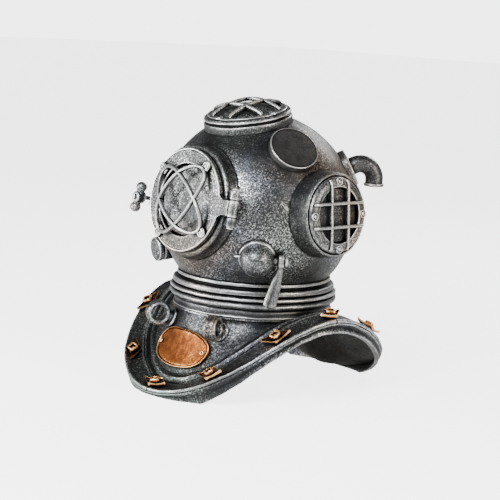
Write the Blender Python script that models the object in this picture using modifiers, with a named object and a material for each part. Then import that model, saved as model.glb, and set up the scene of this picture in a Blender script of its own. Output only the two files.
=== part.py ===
"""Diver's-helmet bubbling ornament for an aquarium, as an assembly of separate pieces.

+Z is up, the helmet looks along -Y, and the wearer's left is +X. The origin is on the surface that the
ornament stands on, below the neck's axis. Lengths below are in millimetres, and MM turns them into metres.
"""

import math

import bmesh
import bpy
from mathutils import Matrix, Vector

MM = 0.001
GAP = 0.3

# Bonnet
DOME_R = 48.7
DOME_WALL = 2.4
DOME_Z = 86.5
DOME_FOOT_Z = 55.5
SEAT_R = DOME_R + 0.6

# Rings between bonnet and breastplate
RING_BORE = 35.0
SPIGOT_R = RING_BORE - GAP
NECK_BORE = 33.0
BONNET_RING_FOOT = 46.7
NECK_RING_TOP = BONNET_RING_FOOT - GAP
NECK_RING_FOOT = 38.7

# Breastplate: the band under the wing nuts runs around a saddle
NECK_R = 38.9
NECK_TOP = NECK_RING_FOOT - GAP
FLARE_TOP = 37.0
BAND_LOW = 4.0
BAND_RISE = 38.0
BAND_RADII = (60.5, 58.8, 54.9, 54.6, 59.6, 64.0, 60.5)
BAND_HALF_WIDTH = 5.0
BRAIL_THICK = 1.4
SHELL_WALL = 2.0
SKIRT_DROP = 7.6
SKIRT_EXTRA = 2.4
SKIRT_TWIST = 3.0
SKIRT_TUCK = 2.4
BRAIL_END_GAP = 0.5

# Windows, as (azimuth, elevation) of their axes from the dome's centre, in degrees
FRONT_AXIS = (0.0, 8.3)
TOP_AXIS = (0.0, 77.5)
SIDE_ELEVATION = 5.0
DISC_AXIS = (71.7, 43.2)
DOOR_R = 24.8
DOOR_FACE = 49.5
DOOR_BACK = 46.9
HINGE_X = 33.0
HINGE_N = 47.2
KNUCKLE_R = 2.3
PIN_R = 0.9
LATCH_X = -33.2
LATCH_Y = -3.0
LATCH_N = 40.4
NUT_LOW = 47.4
NUT_HIGH = 52.2
LOBE_REACH = 5.7
GUARD_TURN = 7.0

# Fittings on the dome
GOOSENECK_AXIS = (140.0, 28.0)
PIPE_R = 4.4
PIPE_BORE_R = 3.4
PIPE_BEND_R = 7.0
EXHAUST_SEAT = (-55.4, -27.4)
EXHAUST_AIM = (-15.0, -8.5)
EXHAUST_R = 6.1
SPITCOCK_AXIS = (48.0, -20.0)
SPITCOCK_R = 8.0

# Fittings on the breastplate
NUT_TURNS = (0.0, -28.0, -20.0, 14.0, -35.0, 10.0, -15.0, 20.0, -25.0, 8.0, -30.0, -12.0)
EYE_ANGLE = 25.0
EYE_CENTRE = (48.6, 34.5)
EYE_TILT = 22.0
EYE_R = 6.2
EYE_HOLE_R = 3.6
PLATE_HALF = (18.0, 10.0)
PLATE_X = -1.6
PLATE_Z = 20.2
PLATE_TILT = 28.0
RIVET_X = 15.2
PLATE_STEPS = 24
INLET_Z = 17.0

ROUND_LARGE = 36
ROUND_MEDIUM = 24
ROUND_SMALL = 16

COLOURS = {
    "antique_silver": ((0.105, 0.110, 0.108), 0.42, 0.75),
    "worn_silver": ((0.250, 0.250, 0.245), 0.36, 0.80),
    "pane_grey": ((0.120, 0.125, 0.125), 0.50, 0.60),
    "copper": ((0.520, 0.200, 0.070), 0.40, 0.80),
    "clear_tube": ((0.550, 0.600, 0.600), 0.25, 0.00),
    "inlet_plastic": ((0.030, 0.030, 0.032), 0.45, 0.00),
    "air_stone": ((0.300, 0.340, 0.400), 0.90, 0.00),
}


def start_scene():
    """Empties the scene and returns the collections for the parts and for the cutters."""
    for old in list(bpy.data.objects):
        bpy.data.objects.remove(old, do_unlink=True)
    collections = []
    for name in ("bubbling_ornament", "cutters"):
        group = bpy.data.collections.new(name)
        bpy.context.scene.collection.children.link(group)
        collections.append(group)
    return collections


def make_materials():
    """One Principled material for each finish."""
    materials = {}
    for name, (colour, roughness, metallic) in COLOURS.items():
        material = bpy.data.materials.new(name)
        material.use_nodes = True
        shader = material.node_tree.nodes["Principled BSDF"]
        shader.inputs["Base Color"].default_value = (*colour, 1.0)
        shader.inputs["Roughness"].default_value = roughness
        shader.inputs["Metallic"].default_value = metallic
        materials[name] = material
    return materials


PARTS, CUTTERS = start_scene()
FINISH = make_materials()


# ---------------------------------------------------------------- frames


def direction(azimuth, elevation):
    """Unit vector; azimuth 0 looks to the front, 90 to the wearer's left."""
    a = math.radians(azimuth)
    e = math.radians(elevation)
    return Vector((math.sin(a) * math.cos(e), -math.cos(a) * math.cos(e), math.sin(e)))


def move(x, y, z):
    """Translation in millimetres."""
    return Matrix.Translation(Vector((x, y, z)) * MM)


def facing(azimuth, elevation):
    """Rotation that takes local Z to the given direction and keeps local Y pointing up."""
    turn = Matrix.Rotation(math.radians(azimuth), 4, "Z")
    tip = Matrix.Rotation(math.radians(90.0 - elevation), 4, "X")
    return turn @ tip


def dome_frame(azimuth, elevation):
    """Frame at the dome's centre whose local Z runs out through a window or fitting."""
    return move(0.0, 0.0, DOME_Z) @ facing(azimuth, elevation)


def around(angle, radius, height):
    """Point at an angle from the front, a radius from the neck's axis and a height, in millimetres."""
    a = math.radians(angle)
    return Vector((radius * math.sin(a), -radius * math.cos(a), height))


FRONT = dome_frame(*FRONT_AXIS)
TOP = dome_frame(*TOP_AXIS)


def pivot(name, matrix, parent=None):
    """An empty on a joint's axis, for the pieces that move together."""
    empty = bpy.data.objects.new(name, None)
    empty.empty_display_size = 0.01
    PARTS.objects.link(empty)
    attach(empty, parent)
    empty.matrix_basis = matrix
    empty["world"] = [value for row in matrix for value in row]
    return empty


def attach(obj, parent):
    """Parents an object to a pivot and leaves it where it is."""
    if parent is None:
        return
    values = list(parent["world"])
    world = Matrix([values[i : i + 4] for i in range(0, 16, 4)])
    obj.parent = parent
    obj.matrix_parent_inverse = world.inverted()


# ---------------------------------------------------------------- shapes


def add_object(name, data, finish, matrix, parent=None):
    """Links new data as a part, or as a hidden cutter when it has no finish."""
    obj = bpy.data.objects.new(name, data)
    obj.matrix_basis = matrix
    if finish is None:
        CUTTERS.objects.link(obj)
        obj.hide_render = True
        obj.display_type = "WIRE"
        return obj
    data.materials.append(FINISH[finish])
    PARTS.objects.link(obj)
    attach(obj, parent)
    return obj


def turned(name, profile, finish, matrix, segments=ROUND_MEDIUM, ring=True, parent=None):
    """Turned piece: a (radius, height) profile, outer side from top to bottom, swept about local Z."""
    mesh = bpy.data.meshes.new(name)
    points = [(radius * MM, 0.0, height * MM) for radius, height in profile]
    edges = [(i, i + 1) for i in range(len(points) - 1)]
    if ring:
        edges.append((len(points) - 1, 0))
    mesh.from_pydata(points, edges, [])
    obj = add_object(name, mesh, finish, matrix, parent)
    screw = obj.modifiers.new("Screw", "SCREW")
    screw.steps = segments
    screw.render_steps = segments
    screw.use_merge_vertices = True
    screw.merge_threshold = 0.00001
    screw.use_smooth_shade = True
    return obj


def box(name, size, finish, matrix, parent=None):
    """Rectangular block centred on its matrix."""
    mesh = bpy.data.meshes.new(name)
    bm = bmesh.new()
    bmesh.ops.create_cube(bm, size=1.0)
    bmesh.ops.scale(bm, vec=Vector(size) * MM, verts=bm.verts)
    bm.to_mesh(mesh)
    bm.free()
    return add_object(name, mesh, finish, matrix, parent)


def rod(name, radius, low, high, finish, matrix, segments=ROUND_SMALL, parent=None):
    """Plain round bar along local Z from low to high."""
    mesh = bpy.data.meshes.new(name)
    bm = bmesh.new()
    lift = Matrix.Translation((0.0, 0.0, (low + high) / 2.0 * MM))
    bmesh.ops.create_cone(
        bm, cap_ends=True, segments=segments, radius1=radius * MM, radius2=radius * MM,
        depth=(high - low) * MM, matrix=lift,
    )
    bm.to_mesh(mesh)
    bm.free()
    return add_object(name, mesh, finish, matrix, parent)


def ball(name, radius, finish, matrix, segments=ROUND_SMALL, parent=None):
    """Round ball, or an ellipsoid when radius is a triple."""
    radii = radius if isinstance(radius, tuple) else (radius, radius, radius)
    mesh = bpy.data.meshes.new(name)
    bm = bmesh.new()
    bmesh.ops.create_uvsphere(bm, u_segments=segments, v_segments=segments // 2, radius=1.0)
    bmesh.ops.scale(bm, vec=Vector(radii) * MM, verts=bm.verts)
    bm.to_mesh(mesh)
    bm.free()
    return add_object(name, mesh, finish, matrix, parent)


def bent_rod(name, points, radius, finish, matrix, closed=False, resolution=1, taper=None, parent=None):
    """Round rod along a path, as a curve turned into a mesh so that it can be cut and joined."""
    curve = bpy.data.curves.new(name, "CURVE")
    curve.dimensions = "3D"
    curve.bevel_depth = radius * MM
    curve.bevel_resolution = resolution
    curve.use_fill_caps = True
    spline = curve.splines.new("POLY")
    spline.points.add(len(points) - 1)
    spline.use_cyclic_u = closed
    for i, point in enumerate(points):
        spline.points[i].co = (*(Vector(point) * MM), 1.0)
        spline.points[i].radius = 1.0 if taper is None else taper[i]
    guide = bpy.data.objects.new(name + "_path", curve)
    CUTTERS.objects.link(guide)
    bpy.context.view_layer.update()
    evaluated = guide.evaluated_get(bpy.context.evaluated_depsgraph_get())
    mesh = bpy.data.meshes.new_from_object(evaluated)
    bpy.data.objects.remove(guide, do_unlink=True)
    bm = bmesh.new()
    bm.from_mesh(mesh)
    bmesh.ops.remove_doubles(bm, verts=bm.verts, dist=0.000005)
    bmesh.ops.recalc_face_normals(bm, faces=bm.faces)
    bm.to_mesh(mesh)
    bm.free()
    return add_object(name, mesh, finish, matrix, parent)


def boolean(target, tool, operation):
    modifier = target.modifiers.new(tool.name, "BOOLEAN")
    modifier.operation = operation
    modifier.solver = "EXACT"
    modifier.object = tool


def cut(target, *tools):
    for tool in tools:
        boolean(target, tool, "DIFFERENCE")


def fuse(target, *tools):
    for tool in tools:
        boolean(target, tool, "UNION")


def seat_cutter(name):
    """The dome's outer face with a little clearance, for the underside of whatever stands on it."""
    return ball(name, SEAT_R, None, move(0.0, 0.0, DOME_Z), segments=36)


DOME_SEAT = seat_cutter("dome_seat")


def screw_head(name, radius, matrix, height=0.9):
    """Round slotted head as a tool for joining to a guard or frame."""
    profile = [(0.0, height), (radius * 0.8, height), (radius, -0.4), (0.0, -0.4)]
    return turned(name, profile, None, matrix, segments=6, ring=False)


# ---------------------------------------------------------------- bonnet


def arc(radius, start, end, count):
    """Points of an arc in the (radius, height) plane; angles in degrees from the axis."""
    angles = [math.radians(start + (end - start) * i / count) for i in range(count + 1)]
    return [(radius * math.sin(a), radius * math.cos(a)) for a in angles]


def build_bonnet(turn):
    """Hollow dome with bores for the windows, the goosenecks, the exhaust valve and the spit-cock."""
    inner_r = DOME_R - DOME_WALL
    foot = DOME_FOOT_Z - DOME_Z
    outer_end = math.degrees(math.acos(foot / DOME_R))
    inner_end = math.degrees(math.acos(foot / inner_r))
    outside = arc(DOME_R, 0.0, outer_end, 10)
    inside = arc(inner_r, inner_end, 0.0, 7)
    dome = turned(
        "bonnet", outside + inside, "antique_silver", move(0, 0, DOME_Z), ROUND_LARGE, ring=False, parent=turn
    )
    bores = {
        "front": (FRONT_AXIS, 20.5),
        "left": ((90.0, SIDE_ELEVATION), 14.0),
        "right": ((-90.0, SIDE_ELEVATION), 14.0),
        "top": (TOP_AXIS, 15.0),
        "gooseneck_left": (GOOSENECK_AXIS, PIPE_BORE_R),
        "gooseneck_right": ((-GOOSENECK_AXIS[0], GOOSENECK_AXIS[1]), PIPE_BORE_R),
    }
    for name, (axis, radius) in bores.items():
        segments = 12 if radius < 10.0 else 20
        cut(dome, rod(name + "_bore", radius, 30.0, 60.0, None, dome_frame(*axis), segments))


def build_bonnet_ring(turn):
    """Turned ring at the bonnet's foot: a thin flange, a flat band and a rounded ridge."""
    top = DOME_FOOT_Z - GAP
    foot = BONNET_RING_FOOT
    profile = [
        (38.4, top), (38.4, top - 1.6), (37.4, top - 2.4), (40.6, top - 3.3), (40.6, top - 5.8),
        (41.7, foot + 1.4), (41.0, foot),
        (RING_BORE, foot), (RING_BORE, top),
    ]
    turned("bonnet_ring", profile, "antique_silver", Matrix(), ROUND_LARGE, parent=turn)


def build_side_window(side, turn):
    """Frame, pane and bar guard of a side window; side is 1 for the wearer's left, -1 for the right."""
    tag = "left" if side > 0 else "right"
    frame_matrix = dome_frame(90.0 * side, SIDE_ELEVATION)
    profile = [
        (19.7, 54.7), (20.6, 53.4), (20.6, 40.0), (12.5, 40.0), (12.5, 52.7), (13.4, 52.7), (13.4, 54.0), (18.6, 54.0),
        (18.8, 54.7),
    ]
    frame = turned("side_window_frame_" + tag, profile, "antique_silver", frame_matrix, parent=turn)
    cut(frame, DOME_SEAT)
    pane = [(0.0, 54.9), (9.0, 54.8), (12.8, 54.6), (13.1, 54.3), (13.1, 53.0), (0.0, 53.0)]
    turned("side_pane_" + tag, pane, "pane_grey", frame_matrix, 24, ring=False, parent=turn)
    build_bar_guard("side_grille_" + tag, frame_matrix, 54.3, 13.4, 18.4, 2.8, 5.6, 2.65, turn)


def build_bar_guard(name, matrix, seat, inner, outer, depth, spacing, rise, turn):
    """Ring that falls away outwards, with two crossed pairs of bent bars and four screws between their ends."""
    crest = inner + 0.4 * (outer - inner)
    ring = [(outer, seat + 0.4 * depth), (outer, seat), (inner, seat), (inner, seat + depth), (crest, seat + depth)]
    guard = turned(name, ring, "worn_silver", matrix, 20, parent=turn)
    middle = (inner + outer) / 2.0
    reach = math.sqrt(middle**2 - spacing**2)
    for pair, spin, lift in (("upright", 0.0, 0.0), ("level", 90.0, 0.13)):
        for sign in (-1, 1):
            x = spacing * sign
            path = [
                (x, -reach, seat + 1.25), (x, -reach * 0.72, seat + rise * 0.8 - lift), (x, 0.0, seat + rise - lift),
                (x, reach * 0.72, seat + rise * 0.8 - lift), (x, reach, seat + 1.25),
            ]
            spun = matrix @ Matrix.Rotation(math.radians(spin), 4, "Z")
            fuse(guard, bent_rod(f"{name}_{pair}_{sign}", path, 1.1, None, spun, resolution=0))
    for quarter in range(4):
        spin = Matrix.Rotation(math.radians(90.0 * quarter), 4, "Z")
        place = matrix @ spin @ move(middle, 0.0, seat + 0.85 * depth - 0.1)
        fuse(guard, screw_head(f"{name}_screw_{quarter}", 1.5, place))


def build_top_window(turn):
    """Round top light, tipped towards the front, with a double flange and a raised bar guard."""
    profile = [
        (21.4, 50.3), (21.7, 48.9), (20.5, 47.9), (21.9, 47.0), (21.9, 40.0), (14.2, 40.0),
        (14.2, 48.3), (16.6, 48.3), (16.6, 50.3),
    ]
    frame = turned("top_window_frame", profile, "antique_silver", TOP, parent=turn)
    cut(frame, DOME_SEAT)
    pane = [
        (0.0, 53.6), (6.0, 53.2), (11.0, 52.2), (14.5, 51.0), (16.0, 50.1), (16.2, 49.6), (16.2, 48.6), (0.0, 48.6),
    ]
    turned("top_pane", pane, "pane_grey", TOP, 24, ring=False, parent=turn)
    build_bar_guard("top_grille", TOP, 50.6, 17.0, 19.7, 0.8, 6.0, 4.6, turn)


def build_telephone_disc(turn):
    """Plain round boss between the front and side windows."""
    profile = [(0.0, 51.1), (11.2, 51.1), (11.9, 50.5), (11.9, 40.0), (0.0, 40.0)]
    disc = turned("telephone_disc", profile, "antique_silver", dome_frame(*DISC_AXIS), 24, ring=False, parent=turn)
    cut(disc, DOME_SEAT)


def gooseneck_path(azimuth):
    """Centre line of the elbow: straight out of the dome, then a bend down to the mouth."""
    elevation = GOOSENECK_AXIS[1]
    rise = math.radians(elevation)
    out = direction(azimuth, elevation)
    level = direction(azimuth, 0.0)
    centre = Vector((0.0, 0.0, DOME_Z))
    bend = centre + out * 53.2
    path = [centre + out * 46.0, bend]
    for step in range(1, 7):
        heading = math.radians(elevation - (90.0 + elevation) * step / 6.0)
        along = PIPE_BEND_R * (math.sin(rise) - math.sin(heading))
        lift = PIPE_BEND_R * (math.cos(heading) - math.cos(rise))
        path.append(bend + level * along + Vector((0.0, 0.0, lift)))
    path.append(path[-1] + Vector((0.0, 0.0, -4.0)))
    return path


def build_gooseneck(side, turn):
    """Downturned open elbow on a round flange at the back of the dome, with a small lip at its mouth."""
    tag = "left" if side > 0 else "right"
    azimuth = GOOSENECK_AXIS[0] * side
    path = gooseneck_path(azimuth)
    pipe = bent_rod("gooseneck_" + tag, path, PIPE_R, "antique_silver", Matrix(), resolution=2, parent=turn)
    flange_profile = [(0.0, 51.0), (8.9, 51.0), (9.4, 50.6), (9.4, 40.0), (0.0, 40.0)]
    flange = turned("gooseneck_flange_" + tag, flange_profile, None, dome_frame(azimuth, GOOSENECK_AXIS[1]), 18, False)
    lip = rod("gooseneck_lip_" + tag, PIPE_R + 0.6, 0.0, 1.5, None, move(*path[-1]), 14)
    fuse(pipe, flange, lip)
    cut(pipe, DOME_SEAT)
    out = direction(azimuth, GOOSENECK_AXIS[1])
    bore_path = [path[0] - out * 4.0] + path[1:-1] + [path[-1] + Vector((0.0, 0.0, -4.0))]
    cut(pipe, bent_rod("gooseneck_bore_" + tag, bore_path, PIPE_BORE_R, None, Matrix(), resolution=2))


def exhaust_frame():
    """Frame of the exhaust valve: its drum isn't radial, but leans nearly level."""
    seat = direction(*EXHAUST_SEAT) * DOME_R
    return move(seat.x, seat.y, seat.z + DOME_Z) @ facing(*EXHAUST_AIM)


def build_exhaust(turn):
    """Exhaust valve: a drum on the dome, and the regulating knob that turns on its outer end."""
    frame = exhaust_frame()
    drum = [(0.0, 6.6), (5.6, 6.6), (6.1, 6.2), (6.1, -6.0), (0.0, -6.0)]
    body = turned("exhaust_valve_body", drum, "antique_silver", frame, 20, ring=False, parent=turn)
    fuse(body, rod("exhaust_spindle", 1.7, 5.0, 10.0, None, frame, 10))
    cut(body, DOME_SEAT)
    hub = pivot("exhaust_knob_axis", frame, turn)
    knob = [
        (5.7, 10.2), (6.2, 9.5), (6.2, 8.3), (5.6, 7.9), (5.6, 6.9), (2.0, 6.9), (2.0, 10.2),
    ]
    turned("exhaust_valve_knob", knob, "antique_silver", frame, 20, parent=hub)


def build_spitcock(turn):
    """Spit-cock: a ball on a collar, with a side stub that carries the hanging lever."""
    azimuth, elevation = SPITCOCK_AXIS
    seat = dome_frame(azimuth, elevation)
    centre = Vector((0.0, 0.0, DOME_Z)) + direction(azimuth, elevation) * 51.6
    stub_frame = move(*centre) @ facing(azimuth + 90.0, 0.0)
    body = ball("spitcock_body", SPITCOCK_R, "antique_silver", seat @ move(0, 0, 51.6), 16, parent=turn)
    collar = turned("spitcock_collar", [(8.3, 49.9), (8.6, 49.5), (8.6, 40), (4, 40), (4, 49.9)], None, seat, 20)
    stub = rod("spitcock_stub", 1.7, 4.0, 14.4, None, stub_frame, 12)
    cap = rod("spitcock_cap", 2.6, 13.7, 14.8, None, stub_frame, 12)
    loop_frame = stub_frame @ move(0.0, 1.6, -8.6) @ Matrix.Rotation(math.radians(90.0), 4, "X")
    circle = [(1.7 * math.cos(math.radians(a)), 1.7 * math.sin(math.radians(a)), 0.0) for a in range(0, 360, 60)]
    loop = bent_rod("spitcock_loop", circle, 0.6, None, loop_frame, closed=True, resolution=0)
    fuse(body, collar, stub, cap, loop)
    cut(body, DOME_SEAT)
    axis = pivot("spitcock_lever_axis", stub_frame, turn)
    head = turned(
        "spitcock_lever", [(3.1, 12.9), (3.1, 10.0), (2.1, 10.0), (2.1, 12.9)], "worn_silver", stub_frame, 16,
        parent=axis,
    )
    outward = 2.6
    path = [
        (0.2, -2.5, 11.4), (outward * 0.6, -7.0, 10.8), (outward, -12.0, 9.6), (outward, -17.5, 8.2),
        (outward, -22.0, 7.2),
    ]
    shaft = bent_rod("spitcock_lever_shaft", path, 2.0, None, stub_frame, taper=(0.65, 0.7, 0.9, 1.15, 1.0))
    fuse(head, shaft)
    cut(head, rod("spitcock_lever_bore", 2.05, 9.0, 14.0, None, stub_frame, 16))


# ---------------------------------------------------------------- front window and door


def build_front_frame(turn):
    """Raised seat of the front window, with the outer hinge knuckles and the latch lugs."""
    profile = [
        (25.9, 46.6), (26.6, 45.9), (26.6, 44.4), (28.1, 43.0), (28.1, 34.0), (20.9, 34.0), (20.9, 46.6),
    ]
    frame = turned("front_window_frame", profile, "antique_silver", FRONT, ROUND_LARGE, parent=turn)
    for sign in (-1, 1):
        knuckle_frame = FRONT @ move(HINGE_X, 6.4 * sign, HINGE_N) @ Matrix.Rotation(math.radians(90.0), 4, "X")
        knuckle = rod(f"frame_knuckle_{sign}", KNUCKLE_R, -2.2, 2.2, None, knuckle_frame, 12)
        arm_place = FRONT @ move((25.6 + HINGE_X) / 2.0, 6.4 * sign, 44.5)
        arm_tilt = Matrix.Rotation(math.radians(-24.0), 4, "Y")
        arm = box(f"frame_hinge_arm_{sign}", (8.6, 4.3, 3.0), None, arm_place @ arm_tilt)
        bore = rod(f"frame_knuckle_bore_{sign}", PIN_R + GAP, -4.0, 4.0, None, knuckle_frame, 12)
        fuse(frame, knuckle, arm)
        cut(frame, bore)
        ear = box(
            f"latch_ear_{sign}", (8.6, 1.3, 3.4), None, FRONT @ move(LATCH_X + 2.5, LATCH_Y + 2.6 * sign, LATCH_N)
        )
        fuse(frame, ear)
    pin_bore = rod("latch_ear_bore", PIN_R * 0.7 + GAP, -6.0, 6.0, None, latch_frame(), 12)
    cut(frame, pin_bore, DOME_SEAT)


def hinge_frame():
    """Frame on the door hinge's axis, with local Z along it, upwards."""
    return FRONT @ move(HINGE_X, 0.0, HINGE_N) @ Matrix.Rotation(math.radians(-90.0), 4, "X")


def latch_frame():
    """Frame on the swing bolt's pivot, with local Z along it, upwards."""
    return FRONT @ move(LATCH_X, LATCH_Y, LATCH_N) @ Matrix.Rotation(math.radians(-90.0), 4, "X")


def build_door(turn):
    """Round faceplate with its hinge strap, its pane and the loop guard."""
    swing = pivot("door_hinge_axis", hinge_frame(), turn)
    profile = [
        (24.8, DOOR_FACE), (24.8, DOOR_BACK), (20.2, DOOR_BACK), (20.2, 44.9), (15.6, 44.9),
        (15.6, 45.7), (17.6, 45.7), (17.9, DOOR_FACE),
    ]
    door = turned("door", profile, "antique_silver", FRONT, ROUND_LARGE, parent=swing)
    strap_length = HINGE_X - 20.0
    strap_place = FRONT @ move(20.0 + strap_length / 2.0, 0.0, 48.1)
    strap = box("door_strap", (strap_length, 7.8, 2.2), None, strap_place)
    barrel = rod("door_knuckle", KNUCKLE_R, -3.9, 3.9, None, hinge_frame(), 12)
    bore = rod("door_knuckle_bore", PIN_R + GAP, -6.0, 6.0, None, hinge_frame(), 12)
    fuse(door, strap, barrel)
    cut(door, bore)
    pane = [(0.0, 47.6), (9.0, 47.5), (17.0, 47.1), (17.25, 46.8), (17.25, 46.0), (0.0, 46.0)]
    turned("door_pane", pane, "pane_grey", FRONT, 24, ring=False, parent=swing)
    build_loop_guard(swing)
    pin = [
        (0.0, 9.9), (1.6, 9.9), (1.6, 8.9), (PIN_R, 8.9), (PIN_R, -8.9), (1.6, -8.9), (1.6, -9.9), (0.0, -9.9),
    ]
    turned("hinge_pin", pin, "worn_silver", hinge_frame(), 10, ring=False, parent=turn)


def build_loop_guard(swing):
    """Two crossed oval loops, bowed outwards, held by four screwed lugs near the door's edge."""
    frame = FRONT @ Matrix.Rotation(math.radians(GUARD_TURN), 4, "Z")
    long_half, short_half = 20.2, 9.8
    seat = DOOR_FACE + GAP
    guard = None
    for index, lean in enumerate((45.0, -45.0)):
        points = []
        for step in range(18):
            a = 2.0 * math.pi * step / 18
            along = long_half * math.cos(a)
            across = short_half * math.sin(a)
            reach = math.hypot(along, across)
            bow = 1.5 + 3.4 * max(0.0, 1.0 - (reach / long_half) ** 3)
            c, s = math.cos(math.radians(lean)), math.sin(math.radians(lean))
            points.append((along * c - across * s, along * s + across * c, seat + bow + 0.03 * index))
        finish = "worn_silver" if index == 0 else None
        loop = bent_rod(
            "door_grille" if index == 0 else "door_grille_loop", points, 1.15, finish, frame, closed=True,
            resolution=0, parent=swing if index == 0 else None,
        )
        if guard is None:
            guard = loop
        else:
            fuse(guard, loop)
    for quarter in range(4):
        spin = Matrix.Rotation(math.radians(45.0 + 90.0 * quarter), 4, "Z")
        lug_profile = [(0.0, 1.7), (2.0, 1.7), (2.4, 1.2), (2.4, 0.0), (0.0, 0.0)]
        place = frame @ spin @ move(21.6, 0.0, seat)
        fuse(guard, turned(f"door_grille_lug_{quarter}", lug_profile, None, place, 10, ring=False))
        fuse(guard, screw_head(f"door_grille_screw_{quarter}", 1.3, frame @ spin @ move(22.3, 0.0, seat + 1.65), 0.8))


def build_latch(turn):
    """Swing bolt on its pin, and the wing nut beside the door's rim, whose wings clear the door as it turns."""
    swing = pivot("swing_bolt_axis", latch_frame(), turn)
    bolt_axis = FRONT @ move(LATCH_X, LATCH_Y, 0.0)
    eye = rod("swing_bolt", 1.4, -1.5, 1.5, "worn_silver", latch_frame(), 12, parent=swing)
    shank = rod("swing_bolt_shank", 1.05, LATCH_N + 0.6, NUT_HIGH + 1.0, None, bolt_axis, 12)
    fuse(eye, shank)
    cut(eye, rod("swing_bolt_bore", PIN_R * 0.7 + 0.25, -3.0, 3.0, None, latch_frame(), 10))
    pin = [
        (0.0, 4.2), (1.1, 4.2), (1.1, 3.6), (PIN_R * 0.7, 3.6), (PIN_R * 0.7, -3.6), (1.1, -3.6), (1.1, -4.2),
        (0.0, -4.2),
    ]
    turned("swing_bolt_pin", pin, "worn_silver", latch_frame(), 10, ring=False, parent=turn)
    spin_frame = bolt_axis @ Matrix.Rotation(math.radians(-14.0), 4, "Z")
    nut_axis = pivot("latch_nut_axis", spin_frame, swing)
    hub = [(2.4, NUT_HIGH), (2.9, NUT_LOW), (1.35, NUT_LOW), (1.35, NUT_HIGH)]
    nut = turned("latch_wing_nut", hub, "antique_silver", spin_frame, 12, parent=nut_axis)
    middle = (NUT_LOW + NUT_HIGH) / 2.0
    for sign in (-1, 1):
        wing = spin_frame @ move(0.0, 3.9 * sign, middle)
        lobe = spin_frame @ move(0.0, LOBE_REACH * sign, middle)
        fuse(nut, ball(f"latch_wing_{sign}", (1.2, 2.6, 1.5), None, wing, 8))
        fuse(nut, ball(f"latch_lobe_{sign}", (1.9, 2.1, 2.1), None, lobe, 10))
    cut(nut, rod("latch_nut_bore", 1.35, NUT_LOW - 1.0, NUT_HIGH + 1.0, None, spin_frame, 12))


# ---------------------------------------------------------------- breastplate


def ring_value(table, angle):
    """Smooth value at an angle from a table that runs from the front (0) to the back (180)."""
    step = 180.0 / (len(table) - 1)
    a = abs((angle + 180.0) % 360.0 - 180.0)
    index = min(int(a / step), len(table) - 2)
    t = a / step - index
    before = table[abs(index - 1)]
    after = table[index + 2] if index + 2 < len(table) else table[-2]
    here, there = table[index], table[index + 1]
    slope0 = (there - before) / 2.0
    slope1 = (after - here) / 2.0
    return (
        (2 * t**3 - 3 * t**2 + 1) * here + (t**3 - 2 * t**2 + t) * slope0
        + (-2 * t**3 + 3 * t**2) * there + (t**3 - t**2) * slope1
    )


def band_height(angle):
    return BAND_LOW + BAND_RISE * math.sin(math.radians(angle)) ** 2


def band_slope(angle):
    """How far the band falls outwards, in radians: least at the lobes and the shoulders."""
    return math.radians(8.0 + 18.0 * math.sin(math.radians(2.0 * angle)) ** 2)


def band_point(angle, along, above):
    """(radius, height) of a point across the band: along it outwards, and above its face."""
    slope = band_slope(angle)
    radius = ring_value(BAND_RADII, angle)
    height = band_height(angle)
    return (
        radius + along * math.cos(slope) + above * math.sin(slope),
        height - along * math.sin(slope) + above * math.cos(slope),
    )


def skirt_height(angle):
    a = math.radians(angle)
    drop = SKIRT_DROP + (SKIRT_EXTRA + SKIRT_TWIST * math.sin(2.0 * a)) * math.cos(a) ** 2
    return max(0.0, band_height(angle) - drop)


def flare_point(angle, part):
    """Point of the apron's face between the neck (part 0) and the band's inner edge (part 1)."""
    edge_r, edge_z = band_point(angle, -BAND_HALF_WIDTH - 0.5, 0.0)
    fall = math.sin(part * math.pi / 2.0)
    spread = 0.5 * fall + 0.5 * (1.0 - math.cos(part * math.pi / 2.0))
    return NECK_R + (edge_r - NECK_R) * spread, FLARE_TOP + (edge_z - FLARE_TOP) * fall


def apron_radius(angle, height):
    """Radius of the apron's face at a height, used to lay pieces on it."""
    edge_r, edge_z = band_point(angle, -BAND_HALF_WIDTH - 0.5, 0.0)
    fall = min(1.0, max(0.0, (height - FLARE_TOP) / (edge_z - FLARE_TOP)))
    spread = 0.5 * fall + 0.5 * (1.0 - math.sqrt(1.0 - fall * fall))
    return NECK_R + (edge_r - NECK_R) * spread


def offset_inwards(points, distance):
    """The same polyline moved to the helmet's inner side."""
    moved = []
    for i, (radius, height) in enumerate(points):
        r0, z0 = points[max(0, i - 1)]
        r1, z1 = points[min(len(points) - 1, i + 1)]
        length = math.hypot(r1 - r0, z1 - z0)
        moved.append((radius + (z1 - z0) / length * distance, height - (r1 - r0) / length * distance))
    return moved


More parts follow.
